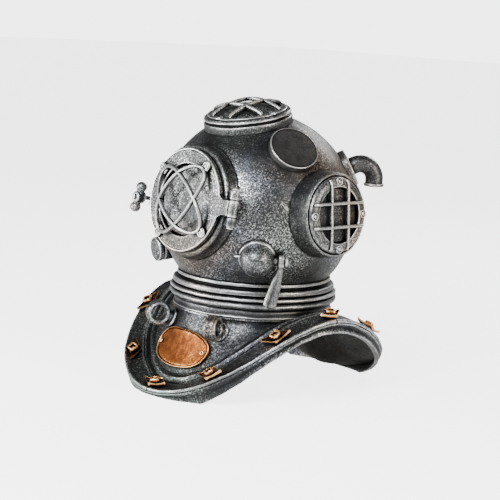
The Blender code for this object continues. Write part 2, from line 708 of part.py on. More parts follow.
def shell_section(angle):
    """Closed outline of the breastplate's wall at an angle: neck, apron, strap seat, rim, and back inside."""
    half = BAND_HALF_WIDTH
    seat = -BRAIL_THICK - GAP
    apron = [flare_point(angle, i / 4.0) for i in range(1, 5)]
    lip = [band_point(angle, -half - 0.35, seat)]
    rim = [band_point(angle, half + 0.4, seat)]
    bottom = skirt_height(angle)
    edge_r, edge_z = rim[-1]
    tuck = SKIRT_TUCK * min(1.0, max(0.0, (edge_z - bottom) / 6.0))
    low_r = edge_r - tuck
    mid_z = (edge_z + bottom) / 2.0
    rim += [(edge_r - tuck * 0.4, mid_z), (low_r, bottom)]
    outside = [(39.8, NECK_TOP), (39.6, NECK_TOP - 1.0)] + apron + lip + rim
    lining = offset_inwards([(NECK_R, FLARE_TOP)] + apron, SHELL_WALL + 0.9)[1:]
    hem = [band_point(angle, half - 1.9, seat - 1.3)]
    foot = (low_r - 2.0, bottom)
    inside = [foot] + hem + lining[::-1]
    inside += [(NECK_BORE, NECK_TOP - 5.0), (NECK_BORE, NECK_TOP - 3.0), (RING_BORE, NECK_TOP - 3.0), (RING_BORE, NECK_TOP)]
    return outside + inside


def apron_seat_section(angle):
    """Outline of everything inside the apron's face, with a little clearance above it."""
    apron = [flare_point(angle, i / 4.0) for i in range(5)]
    face = offset_inwards(apron, -0.4)
    neck = [(20.0, NECK_TOP + 2.0), (40.6, NECK_TOP + 2.0), (40.6, FLARE_TOP)]
    return neck + face[1:] + [(20.0, face[-1][1] - 1.0)]


def brail_section(angle):
    """Closed outline of a clamping strap: flat, with a rounded bead along its outer edge."""
    half = BAND_HALF_WIDTH
    spots = [
        (-half, 0.0), (half - 2.2, 0.0), (half - 1.6, 0.45), (half - 0.6, 0.5), (half + 0.3, 0.0),
        (half + 0.4, -0.8), (half, -BRAIL_THICK), (-half, -BRAIL_THICK),
    ]
    return [band_point(angle, along, above) for along, above in spots]


def solid_mesh(name, bm):
    """Turns hand-joined faces into a mesh whose faces all look outwards."""
    bmesh.ops.triangulate(bm, faces=bm.faces)
    bmesh.ops.recalc_face_normals(bm, faces=bm.faces)
    if bm.calc_volume(signed=True) < 0.0:
        bmesh.ops.reverse_faces(bm, faces=bm.faces)
    mesh = bpy.data.meshes.new(name)
    bm.to_mesh(mesh)
    bm.free()
    return mesh


def ring_loft(name, section, finish, start, end, count):
    """Solid that follows a changing outline around the neck's axis, closed into a ring at 360 degrees."""
    closed = abs(end - start) >= 359.9
    stations = count if closed else count + 1
    bm = bmesh.new()
    loops = []
    for i in range(stations):
        angle = start + (end - start) * i / count
        loops.append([bm.verts.new(around(angle, radius, height) * MM) for radius, height in section(angle)])
    size = len(loops[0])
    for i in range(count):
        here, there = loops[i], loops[(i + 1) % stations]
        for j in range(size):
            k = (j + 1) % size
            bm.faces.new((here[j], here[k], there[k], there[j]))
    if not closed:
        bm.faces.new(loops[0])
        bm.faces.new(loops[-1])
    mesh = solid_mesh(name, bm)
    mesh.shade_smooth()
    mesh.set_sharp_from_angle(angle=math.radians(35.0))
    return add_object(name, mesh, finish, Matrix())


def build_breastplate():
    """Saddle shell, and the four straps that follow its rim."""
    shell = ring_loft("breastplate", shell_section, "antique_silver", 0.0, 360.0, 40)
    inlet = inlet_frame()
    cut(shell, rod("inlet_bore", 3.0 + GAP, -9.0, 9.0, None, inlet, 14))
    quarters = {"front_left": 0.0, "rear_left": 90.0, "rear_right": 180.0, "front_right": 270.0}
    for name, start in quarters.items():
        ring_loft(
            "brail_" + name, brail_section, "antique_silver", start + BRAIL_END_GAP, start + 90.0 - BRAIL_END_GAP, 10
        )


def build_neck_ring():
    """Turned ring on the breastplate, with the spigot that the bonnet's ring turns on."""
    top = NECK_RING_TOP
    foot = NECK_RING_FOOT
    profile = [
        (SPIGOT_R, top + 4.0), (SPIGOT_R, top), (41.0, top), (41.8, top - 1.5), (39.6, top - 4.0),
        (39.6, foot), (NECK_BORE, foot), (NECK_BORE, top + 4.0),
    ]
    turned("neck_ring", profile, "antique_silver", Matrix(), ROUND_LARGE)


def band_frame(angle, above):
    """Frame on the band: local Z stands off its face, local X runs along it."""
    radius, height = band_point(angle, 0.0, above)
    ahead_r, ahead_z = band_point(angle + 1.0, 0.0, above)
    here = around(angle, radius, height)
    tangent = (around(angle + 1.0, ahead_r, ahead_z) - here).normalized()
    far_r, far_z = band_point(angle, 1.0, above)
    across = (around(angle, far_r, far_z) - here).normalized()
    up = across.cross(tangent).normalized()
    if up.z < 0.0:
        up = -up
    side = up.cross(tangent)
    basis = Matrix((tangent, side, up)).transposed().to_4x4()
    return Matrix.Translation(here * MM) @ basis


def build_wing_nuts():
    """Twelve wing nuts, one every 30 degrees, each on its short stud."""
    for index in range(12):
        angle = 30.0 * index
        frame = band_frame(angle, GAP) @ Matrix.Rotation(math.radians(NUT_TURNS[index]), 4, "Z")
        name = f"wing_nut_{index + 1:02d}"
        outline = [
            (7.0, 0.0), (3.2, 1.9), (0.0, 3.9), (-3.2, 1.9), (-7.0, 0.0), (-3.2, -1.9), (0.0, -3.9), (3.2, -1.9),
        ]
        nut = rod(name, 2.6, 0.0, 1.8, "copper", frame, 8)
        boss = box(name + "_boss", (3.0, 3.0, 2.4), None, frame @ move(0, 0, 2.9))
        fuse(nut, wing_plate(name + "_wings", outline, frame), boss)


def wing_plate(name, outline, frame):
    """Flat rhombic plate whose two tips rise, as a tool for the wing nuts."""
    bm = bmesh.new()
    levels = []
    for low in (1.1, 2.4):
        levels.append([bm.verts.new(Vector((x, y, low + 0.025 * x * x)) * MM) for x, y in outline])
    count = len(outline)
    for j in range(count):
        k = (j + 1) % count
        bm.faces.new((levels[0][j], levels[0][k], levels[1][k], levels[1][j]))
    bm.faces.new(levels[0][::-1])
    bm.faces.new(levels[1])
    return add_object(name, solid_mesh(name, bm), None, frame)


def plate_point(x, rise, above):
    """Point on or above the front apron, from sideways and up-the-slope distances."""
    tilt = math.radians(PLATE_TILT)
    height = PLATE_Z + rise * math.cos(tilt)
    radius = apron_radius(0.0, height)
    for _ in range(3):
        angle = math.degrees(math.asin((x + PLATE_X) / radius))
        radius = apron_radius(angle, height)
    a = math.radians(angle)
    out = Vector((math.sin(a) * math.cos(tilt), -math.cos(a) * math.cos(tilt), math.sin(tilt)))
    return around(angle, radius, height) + out * above


def plate_oval(a, scale):
    """Sideways and up-the-slope distances of the name plate's outline, a slightly squared oval."""
    c = math.cos(a)
    s = math.sin(a)
    x = PLATE_HALF[0] * scale * math.copysign(abs(c) ** 0.86, c)
    rise = PLATE_HALF[1] * scale * math.copysign(abs(s) ** 0.86, s)
    return x, rise


def build_name_plate():
    """Blank oval plate bent over the apron, and its two rivets."""
    bm = bmesh.new()
    rings = []
    for above, scale in ((0.5, 1.0), (1.2, 1.0), (1.7, 0.97), (1.7, 0.92), (1.2, 0.88)):
        ring = []
        for step in range(PLATE_STEPS):
            x, rise = plate_oval(2.0 * math.pi * step / PLATE_STEPS, scale)
            ring.append(bm.verts.new(plate_point(x, rise, above) * MM))
        rings.append(ring)
    for lower, upper in zip(rings, rings[1:]):
        for j in range(PLATE_STEPS):
            k = (j + 1) % PLATE_STEPS
            bm.faces.new((lower[j], lower[k], upper[k], upper[j]))
    for ring, above in ((rings[0], 0.5), (rings[-1], 1.2)):
        previous = ring
        for scale in (0.5,):
            inner = []
            for step in range(PLATE_STEPS):
                x, rise = plate_oval(2.0 * math.pi * step / PLATE_STEPS, scale)
                inner.append(bm.verts.new(plate_point(x, rise, above) * MM))
            for j in range(PLATE_STEPS):
                k = (j + 1) % PLATE_STEPS
                bm.faces.new((previous[j], previous[k], inner[k], inner[j]))
            previous = inner
        hub = bm.verts.new(plate_point(0.0, 0.0, above) * MM)
        for j in range(PLATE_STEPS):
            bm.faces.new((previous[j], previous[(j + 1) % PLATE_STEPS], hub))
    add_object("name_plate", solid_mesh("name_plate", bm), "copper", Matrix())
    for tag, sign in (("left", 1), ("right", -1)):
        spot = plate_point(RIVET_X * sign, 0.0, 1.35 + GAP)
        azimuth = math.degrees(math.atan2(spot.x, -spot.y))
        head = [(0.0, 0.9), (0.7, 0.7), (1.1, 0.2), (1.1, 0.0), (0.0, 0.0)]
        turned("plate_rivet_" + tag, head, "copper", move(*spot) @ facing(azimuth, PLATE_TILT), 12, ring=False)


def build_lashing_eyes():
    """Two short open-ended eyes that stand on round feet on the front apron."""
    seat = ring_loft("apron_seat", apron_seat_section, None, 0.0, 360.0, 40)
    for tag, sign in (("left", 1), ("right", -1)):
        angle = EYE_ANGLE * sign
        centre = around(angle, *EYE_CENTRE)
        stand = facing(angle, EYE_TILT)
        across = move(*centre) @ facing(angle + 90.0, 0.0)
        tube = [(EYE_R - 0.4, 3.2), (EYE_R, 2.0), (EYE_R, -2.0), (EYE_R - 0.4, -3.2), (EYE_HOLE_R, -3.2), (EYE_HOLE_R, 3.2)]
        eye = turned("lashing_eye_" + tag, tube, "antique_silver", across, 16)
        foot = [(0.0, -5.0), (3.0, -5.0), (3.2, -6.4), (4.9, -7.0), (4.9, -12.0), (0.0, -12.0)]
        fuse(eye, turned("eye_foot_" + tag, foot, None, move(*centre) @ stand, 12, ring=False))
        cut(eye, rod("eye_bore_" + tag, EYE_HOLE_R, -6.0, 6.0, None, across, 16), seat)


# ---------------------------------------------------------------- air supply


def inlet_frame():
    """Frame of the airline inlet at the back of the breastplate; local Z points outwards."""
    radius = apron_radius(180.0, INLET_Z)
    return move(*around(180.0, radius, INLET_Z)) @ facing(180.0, 0.0)


def build_air_supply():
    """Barbed inlet, inner tube, the bridge in the neck and the air stone that stands on it."""
    inlet = inlet_frame()
    profile = [
        (1.3, 12.0), (2.2, 12.0), (2.9, 9.4), (2.1, 9.4), (2.8, 6.8), (2.1, 6.8), (2.1, 4.0), (5.0, 4.0),
        (5.0, 2.8), (2.9, 2.8), (2.9, -7.0), (1.3, -7.0),
    ]
    turned("airline_inlet", profile, "inlet_plastic", inlet, 12)
    bar_z = NECK_TOP - 1.5
    bar = box("stone_bracket", (2.0 * RING_BORE - 3.0, 7.0, 2.2), "inlet_plastic", move(0.0, 0.0, bar_z))
    hub = rod("bracket_hub", 7.5, bar_z - 1.1, bar_z + 1.1, None, Matrix(), 20)
    spout = rod("bracket_spout", 2.0, bar_z - 6.0, bar_z, None, Matrix(), 12)
    fuse(bar, hub, spout)
    low = bar_z + 1.1 + GAP
    stone = [(0.0, low + 22.0), (5.2, low + 22.0), (6.2, low + 21.0), (6.2, low + 1.0), (5.2, low), (0.0, low)]
    turned("air_stone", stone, "air_stone", Matrix(), 20, ring=False)
    inner_end = inlet @ Vector((0.0, 0.0, (-7.0 - GAP) * MM)) / MM
    start = Vector((0.0, 0.0, bar_z - 6.0 - GAP))
    path = []
    for step in range(13):
        t = step / 12.0
        down = (1 - t) ** 3 * start + 3 * (1 - t) ** 2 * t * (start + Vector((0.0, 0.0, -16.0)))
        back = 3 * (1 - t) * t**2 * (inner_end + Vector((0.0, -20.0, 0.0))) + t**3 * inner_end
        path.append(down + back)
    bent_rod("air_tube", path, 2.8, "clear_tube", Matrix(), resolution=2)


def build_all():
    turn = pivot("bonnet_axis", move(0.0, 0.0, BONNET_RING_FOOT))
    build_breastplate()
    build_neck_ring()
    build_wing_nuts()
    build_name_plate()
    build_lashing_eyes()
    build_air_supply()
    build_bonnet(turn)
    build_bonnet_ring(turn)
    build_front_frame(turn)
    build_door(turn)
    build_latch(turn)
    for side in (1, -1):
        build_side_window(side, turn)
        build_gooseneck(side, turn)
    build_top_window(turn)
    build_telephone_disc(turn)
    build_exhaust(turn)
    build_spitcock(turn)


build_all()
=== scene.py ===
import math

import bmesh
import bpy
import numpy as np
from mathutils import Matrix, Vector, noise
from mathutils.bvhtree import BVHTree


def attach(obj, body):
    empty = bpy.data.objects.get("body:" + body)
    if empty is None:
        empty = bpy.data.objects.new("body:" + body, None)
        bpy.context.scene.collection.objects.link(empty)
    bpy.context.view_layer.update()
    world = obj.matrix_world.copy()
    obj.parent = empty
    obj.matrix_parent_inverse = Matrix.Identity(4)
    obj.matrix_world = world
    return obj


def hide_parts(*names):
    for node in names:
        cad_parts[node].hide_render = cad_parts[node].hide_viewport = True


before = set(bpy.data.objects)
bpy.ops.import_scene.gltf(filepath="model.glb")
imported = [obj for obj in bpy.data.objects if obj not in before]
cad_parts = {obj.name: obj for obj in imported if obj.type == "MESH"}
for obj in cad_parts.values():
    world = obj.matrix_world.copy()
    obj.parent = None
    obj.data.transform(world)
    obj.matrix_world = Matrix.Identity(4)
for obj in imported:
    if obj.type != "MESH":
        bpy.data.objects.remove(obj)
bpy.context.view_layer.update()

MM = 0.001
noise.seed_set(1)  # noise_vector takes its offsets from the clock unless a seed is set

# Dimensions of the helmet, in millimetres, as in the CAD part
DOME_R = 48.7
DOME_WALL = 2.4
DOME_Z = 86.5
DOME_FOOT_Z = 55.5
RING_BORE = 35.0
NECK_BORE = 33.0
BONNET_RING_FOOT = 46.7
NECK_RING_TOP = 46.4
NECK_RING_FOOT = 38.7
NECK_TOP = 38.4
NECK_R = 38.9
FLARE_TOP = 37.0
BAND_LOW = 4.0
BAND_RISE = 38.0
BAND_RADII = (60.5, 58.8, 54.9, 54.6, 59.6, 64.0, 60.5)
BAND_HALF = 5.0
SEAT = -1.7
SKIRT_DROP = 7.6
SKIRT_EXTRA = 2.4
SKIRT_TWIST = 3.0
SKIRT_TUCK = 2.4
FRONT_AXIS = (0.0, 8.3)
TOP_AXIS = (0.0, 77.5)
SIDE_ELEVATION = 5.0
DISC_AXIS = (71.7, 43.2)
DOOR_FACE = 49.5
DOOR_R = 24.9
HINGE_X = 33.0
HINGE_N = 47.2
LATCH = (-33.2, -3.0, 40.4)
NUT_LOW = 47.4
NUT_HIGH = 52.2
GUARD_TURN = 7.0
GOOSENECK_AXIS = (140.0, 28.0)
PIPE_R = 4.4
PIPE_BORE_R = 3.4
PIPE_BEND_R = 7.0
EXHAUST_SEAT = (-55.4, -27.4)
EXHAUST_AIM = (-15.0, -8.5)
SPITCOCK_AXIS = (48.0, -20.0)
SPITCOCK_R = 8.0
NUT_TURNS = (0.0, -28.0, -20.0, 14.0, -35.0, 10.0, -15.0, 20.0, -25.0, 8.0, -30.0, -12.0)
EYE_ANGLE = 25.0
EYE_CENTRE = (48.6, 34.5)
EYE_TILT = 22.0
EYE_R = 6.2
EYE_HOLE_R = 3.6
PLATE_HALF = (18.0, 10.0)
PLATE_X = -1.6
PLATE_Z = 20.2
PLATE_TILT = 28.0
RIVET_X = 15.2
INLET_Z = 17.0

FINE = 2


# ---------------------------------------------------------------- frames


def direction(azimuth, elevation):
    a = math.radians(azimuth)
    e = math.radians(elevation)
    return Vector((math.sin(a) * math.cos(e), -math.cos(a) * math.cos(e), math.sin(e)))


def move(x, y, z):
    return Matrix.Translation(Vector((x, y, z)))


def spin(angle, axis="Z"):
    return Matrix.Rotation(math.radians(angle), 4, axis)


def facing(azimuth, elevation):
    return spin(azimuth) @ spin(90.0 - elevation, "X")


def dome_frame(azimuth, elevation):
    return move(0.0, 0.0, DOME_Z) @ facing(azimuth, elevation)


def around(angle, radius, height):
    a = math.radians(angle)
    return Vector((radius * math.sin(a), -radius * math.cos(a), height))


FRONT = dome_frame(*FRONT_AXIS)
TOP = dome_frame(*TOP_AXIS)


# ---------------------------------------------------------------- mesh building


def soften(points, radius, closed=True, steps=3):
    """The same outline with each corner rounded off."""
    count = len(points)
    result = []
    for i, point in enumerate(points):
        if not closed and i in (0, count - 1):
            result.append(point)
            continue
        here = np.array(point, float)
        before = np.array(points[i - 1], float)
        after = np.array(points[(i + 1) % count], float)
        back = before - here
        ahead = after - here
        back_len = np.linalg.norm(back)
        ahead_len = np.linalg.norm(ahead)
        reach = min(radius, back_len * 0.45, ahead_len * 0.45)
        start = here + back / max(back_len, 1e-9) * reach
        end = here + ahead / max(ahead_len, 1e-9) * reach
        for step in range(steps + 1):
            t = step / steps
            result.append(tuple((1 - t) ** 2 * start + 2 * t * (1 - t) * here + t * t * end))
    return result


def subdivide(points, length, closed=True):
    """The same outline with no stretch longer than length."""
    result = []
    last = len(points) if closed else len(points) - 1
    for i in range(last):
        a = np.array(points[i], float)
        b = np.array(points[(i + 1) % len(points)], float)
        parts = max(1, int(np.linalg.norm(b - a) / length))
        for k in range(parts):
            result.append(tuple(a + (b - a) * k / parts))
    if not closed:
        result.append(tuple(points[-1]))
    return result


class Piece:
    """Collects the surfaces of one visual piece, in millimetres in the row frame."""

    def __init__(self):
        self.verts = []
        self.faces = []
        self.count = 0

    def add(self, points, faces, matrix=None):
        points = np.asarray(points, float).reshape(-1, 3)
        if matrix is not None:
            m = np.array(matrix)
            points = points @ m[:3, :3].T + m[:3, 3]
        self.verts.append(points)
        self.faces += [tuple(i + self.count for i in face) for face in faces]
        self.count += len(points)
        return self

    def grid(self, rows, wrap_rows, wrap_cols, matrix=None, cap=False):
        """Quads over a table of points."""
        table = np.asarray(rows, float)
        n, m = table.shape[:2]
        faces = []
        for i in range(n if wrap_rows else n - 1):
            k = (i + 1) % n
            for j in range(m if wrap_cols else m - 1):
                q = (j + 1) % m
                faces.append((i * m + j, i * m + q, k * m + q, k * m + j))
        if cap:
            faces.append(tuple(range(m))[::-1])
            faces.append(tuple((n - 1) * m + j for j in range(m)))
        return self.add(table.reshape(-1, 3), faces, matrix)

    def lathe(self, profile, matrix=None, seg=96, closed=True, round_off=0.3, step=1.6):
        """Turned surface; profile points are (radius, height)."""
        outline = soften(profile, round_off, closed) if round_off else profile
        outline = subdivide(outline, step, closed)
        turn = np.linspace(0.0, 2.0 * math.pi, seg, endpoint=False)
        rows = [[(r * math.cos(a), r * math.sin(a), z) for r, z in outline] for a in turn]
        return self.grid(rows, True, closed, matrix)

    def sweep(self, path, section, matrix=None, closed=False, up=(0, 0, 1), cap=True):
        """Bar along a path; section(t) gives (side, height) points at a share t of its length."""
        pts = np.asarray(path, float)
        n = len(pts)
        rows = []
        for i in range(n):
            if closed:
                tangent = pts[(i + 1) % n] - pts[i - 1]
            else:
                tangent = pts[min(i + 1, n - 1)] - pts[max(i - 1, 0)]
            tangent = tangent / np.linalg.norm(tangent)
            side = np.cross(tangent, np.asarray(up, float))
            side = side / max(np.linalg.norm(side), 1e-9)
            lift = np.cross(side, tangent)
            share = i / n if closed else i / (n - 1)
            rows.append([pts[i] + side * a + lift * b for a, b in section(share)])
        return self.grid(rows, closed, True, matrix, cap=cap and not closed)

    def slab(self, outline, low, high, matrix=None, bevel=0.3):
        """Plate with bevelled edges over a closed outline."""
        pts = np.asarray(outline, float)
        ahead = np.roll(pts, -1, axis=0) - np.roll(pts, 1, axis=0)
        normal = np.stack([ahead[:, 1], -ahead[:, 0]], 1)
        normal /= np.linalg.norm(normal, axis=1)[:, None]
        area = np.sum(pts[:, 0] * np.roll(pts[:, 1], -1) - np.roll(pts[:, 0], -1) * pts[:, 1])
        if area < 0:
            normal = -normal
        rows = []
        for inset, z in (
            (bevel, low), (bevel * 0.3, low + bevel * 0.3), (0, low + bevel), (0, high - bevel),
            (bevel * 0.3, high - bevel * 0.3), (bevel, high),
        ):
            ring = pts - normal * inset
            rows.append([(x, y, z) for x, y in ring])
        return self.grid(rows, False, True, matrix, cap=True)

    def ball(self, radii, matrix=None, seg=24):
        rows = []
        for i in range(seg):
            a = 2.0 * math.pi * i / seg
            row = []
            for j in range(seg // 2 + 1):
                p = math.pi * j / (seg // 2)
                row.append((
                    radii[0] * math.sin(p) * math.cos(a), radii[1] * math.sin(p) * math.sin(a), radii[2] * math.cos(p)
                ))
            rows.append(row)
        return self.grid(rows, True, False, matrix)

    def screw(self, radius, matrix, height=0.9):
        """Round domed head with a short straight side."""
        self.lathe(
            [(0, height), (radius * 0.45, height * 0.96), (radius * 0.85, height * 0.6), (radius, 0.1), (radius, -0.8), (0, -0.8)],
            matrix, seg=20, closed=False, round_off=0.15, step=0.6,
        )
        return self

    def finish(self, name, node, body, slot, material, cast=0.10, sharp=50.0):
        """Makes the object, roughens it as a casting is, and lets it stand for its CAD node."""
        mesh = bpy.data.meshes.new(name)
        verts = np.vstack(self.verts)
        if cast:
            coarse = np.array([noise.noise_vector(Vector(v) * 0.16) for v in verts])
            fine = np.array([noise.noise_vector(Vector(v) * 0.55 + Vector((9, 4, 2))) for v in verts])
            verts = verts + coarse * cast * 1.5 + fine * cast * 0.7
        mesh.from_pydata([tuple(v) for v in verts * MM], [], self.faces)
        bm = bmesh.new()
        bm.from_mesh(mesh)
        bmesh.ops.remove_doubles(bm, verts=bm.verts, dist=0.000002)
        bmesh.ops.dissolve_degenerate(bm, edges=bm.edges, dist=0.000001)
        bmesh.ops.recalc_face_normals(bm, faces=bm.faces)
        bm.to_mesh(mesh)
        bm.free()
        mesh.shade_smooth()
        mesh.set_sharp_from_angle(angle=math.radians(sharp))
        obj = bpy.data.objects.new(name, mesh)
        bpy.context.scene.collection.objects.link(obj)
        mesh.materials.append(material)
        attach(obj, body)
        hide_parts(node)
        PIECES.append(obj)
        return obj


PIECES = []


def oval(width, height, count=14, flat=2.4):
    """Rounded bar section that is a little flat on top."""
    points = []
    for k in range(count):
        a = 2.0 * math.pi * k / count
        c, s = math.cos(a), math.sin(a)
        x = math.copysign(abs(c) ** (2.0 / flat), c) * width / 2.0
        y = math.copysign(abs(s) ** (2.0 / flat), s) * height / 2.0
        points.append((x, y))
    return points


def smooth_path(points, count):
    """Catmull-Rom curve through a few points."""
    pts = [np.array(p, float) for p in points]
    pts = [2 * pts[0] - pts[1]] + pts + [2 * pts[-1] - pts[-2]]
    result = []
    spans = len(pts) - 3
    for k in range(count + 1):
        t = k / count * spans
        i = min(int(t), spans - 1)
        f = t - i
        p0, p1, p2, p3 = pts[i : i + 4]
        result.append(0.5 * (2 * p1 + (p2 - p0) * f + (2 * p0 - 5 * p1 + 4 * p2 - p3) * f * f + (3 * p1 - p0 - 3 * p2 + p3) * f ** 3))
    return result


def seated(inner, outer, height=48.5):
    """Profile points that follow the dome under a turned fitting, from its outer wall to its inner one."""
    return [(r, math.sqrt(height * height - r * r)) for r in np.linspace(outer, inner, 6)]


# ---------------------------------------------------------------- saddle


def ring_value(table, angle):
    step = 180.0 / (len(table) - 1)
    a = abs((angle + 180.0) % 360.0 - 180.0)
    index = min(int(a / step), len(table) - 2)
    t = a / step - index
    before = table[abs(index - 1)]
    after = table[index + 2] if index + 2 < len(table) else table[-2]
    here, there = table[index], table[index + 1]
    s0 = (there - before) / 2.0
    s1 = (after - here) / 2.0
    return (
        (2 * t**3 - 3 * t**2 + 1) * here + (t**3 - 2 * t**2 + t) * s0
        + (-2 * t**3 + 3 * t**2) * there + (t**3 - t**2) * s1
    )


def band_height(angle):
    return BAND_LOW + BAND_RISE * math.sin(math.radians(angle)) ** 2


def band_point(angle, along, above):
    slope = math.radians(8.0 + 18.0 * math.sin(math.radians(2.0 * angle)) ** 2)
    radius = ring_value(BAND_RADII, angle)
    height = band_height(angle)
    return (
        radius + along * math.cos(slope) + above * math.sin(slope),
        height - along * math.sin(slope) + above * math.cos(slope),
    )


def skirt_height(angle):
    a = math.radians(angle)
    drop = SKIRT_DROP + (SKIRT_EXTRA + SKIRT_TWIST * math.sin(2.0 * a)) * math.cos(a) ** 2
    return max(0.0, band_height(angle) - drop)


def flare_point(angle, part):
    edge_r, edge_z = band_point(angle, -BAND_HALF - 0.5, 0.0)
    fall = math.sin(part * math.pi / 2.0)
    spread = 0.5 * fall + 0.5 * (1.0 - math.cos(part * math.pi / 2.0))
    return NECK_R + (edge_r - NECK_R) * spread, FLARE_TOP + (edge_z - FLARE_TOP) * fall


def apron_radius(angle, height):
    edge_r, edge_z = band_point(angle, -BAND_HALF - 0.5, 0.0)
    fall = min(1.0, max(0.0, (height - FLARE_TOP) / (edge_z - FLARE_TOP)))
    spread = 0.5 * fall + 0.5 * (1.0 - math.sqrt(1.0 - fall * fall))
    return NECK_R + (edge_r - NECK_R) * spread


def offset_profile(points, distances):
    moved = []
    for i, (radius, height) in enumerate(points):
        r0, z0 = points[max(0, i - 1)]
        r1, z1 = points[min(len(points) - 1, i + 1)]
        length = math.hypot(r1 - r0, z1 - z0) + 1e-9
        d = distances[i]
        moved.append((radius - (z1 - z0) / length * d, height + (r1 - r0) / length * d))
    return moved


def bell(x, centre, width):
    return math.exp(-(((x - centre) / width) ** 2))


def shell_section(angle):
    half = BAND_HALF
    steps = 30
    parts = [i / steps for i in range(1, steps + 1)]
    apron = [flare_point(angle, p) for p in parts]
    edge_r, edge_z = apron[-1]
    span = math.hypot(edge_r - NECK_R, edge_z - FLARE_TOP)
    ridge = []
    for point in apron:
        gap = math.hypot(edge_r - point[0], edge_z - point[1])
        lift = 0.75 * bell(gap, 3.9, 0.9) - 0.9 * bell(gap, 1.7, 1.1) - 0.25 * bell(gap, 6.2, 0.9)
        ridge.append(lift * min(1.0, span / 12.0))
    apron = offset_profile(apron, ridge)
    lip = [band_point(angle, -half - 0.35, SEAT)]
    rim_r, rim_z = band_point(angle, half + 0.4, SEAT)
    bottom = skirt_height(angle)
    room = max(0.0, rim_z - bottom)
    k = min(1.0, room / 5.0)
    side = k * math.sin(math.radians(angle)) ** 2
    deep = 0.25 * k + 1.3 * side
    tuck = SKIRT_TUCK * min(1.0, room / 6.0)
    low_r = rim_r - tuck
    face = []
    for t in np.linspace(0.0, 1.0, 15):
        groove = deep * bell(t, 0.42, 0.24)
        bead = 0.35 * side * bell(t, 0.88, 0.08)
        face.append((rim_r - tuck * t**1.5 - groove + bead, rim_z + (bottom - rim_z) * t))
    foot = [(low_r - 0.4, bottom), (low_r - 1.8, bottom)]
    outside = [(39.8, NECK_TOP), (39.9, NECK_TOP - 0.7), (39.3, NECK_TOP - 1.2)] + apron + lip + face + foot
    lining = offset_profile([(NECK_R, FLARE_TOP)] + [flare_point(angle, i / 8.0) for i in range(1, 9)], [-2.9] * 9)[1:]
    hem = [(low_r - 2.0, bottom + 0.3), band_point(angle, half - 1.9, SEAT - 1.3)]
    inside = hem + lining[::-1]
    inside += [(NECK_BORE, NECK_TOP - 5.0), (NECK_BORE, NECK_TOP - 3.0), (RING_BORE, NECK_TOP - 3.0), (RING_BORE, NECK_TOP)]
    return outside + inside


def strap_section(angle):
    spots = [
        (-5.0, -1.35), (-5.05, -0.4), (-4.8, 0.0), (-4.4, 0.15), (-3.9, 0.12), (-3.2, 0.02), (-2.2, 0.0), (-1.0, 0.0),
        (0.0, 0.0), (1.2, 0.0), (2.4, -0.02), (3.4, -0.05), (4.0, 0.05), (4.5, 0.22), (4.95, 0.18), (5.3, -0.15),
        (5.45, -0.7), (5.3, -1.15), (5.0, -1.4),
    ]
    return [band_point(angle, along, above) for along, above in spots]


def saddle_loft(piece, section, start, end, count):
    closed = abs(end - start) > 359.9
    rows = []
    for i in range(count if closed else count + 1):
        angle = start + (end - start) * i / count
        rows.append([tuple(around(angle, r, z)) for r, z in section(angle)])
    return piece.grid(rows, closed, True, cap=not closed)


def band_frame(angle, above):
    radius, height = band_point(angle, 0.0, above)
    ahead_r, ahead_z = band_point(angle + 1.0, 0.0, above)
    here = around(angle, radius, height)
    tangent = (around(angle + 1.0, ahead_r, ahead_z) - here).normalized()
    far_r, far_z = band_point(angle, 1.0, above)
    across = (around(angle, far_r, far_z) - here).normalized()
    up = across.cross(tangent).normalized()
    if up.z < 0.0:
        up = -up
    side = up.cross(tangent)
    return Matrix.Translation(here) @ Matrix((tangent, side, up)).transposed().to_4x4()


def plate_point(x, rise, above):
    tilt = math.radians(PLATE_TILT)
    height = PLATE_Z + rise * math.cos(tilt)
    radius = apron_radius(0.0, height)
    for _ in range(3):
        angle = math.degrees(math.asin((x + PLATE_X) / radius))
        radius = apron_radius(angle, height)
    a = math.radians(angle)
    out = Vector((math.sin(a) * math.cos(tilt), -math.cos(a) * math.cos(tilt), math.sin(tilt)))
    return around(angle, radius, height) + out * above


# ---------------------------------------------------------------- materials


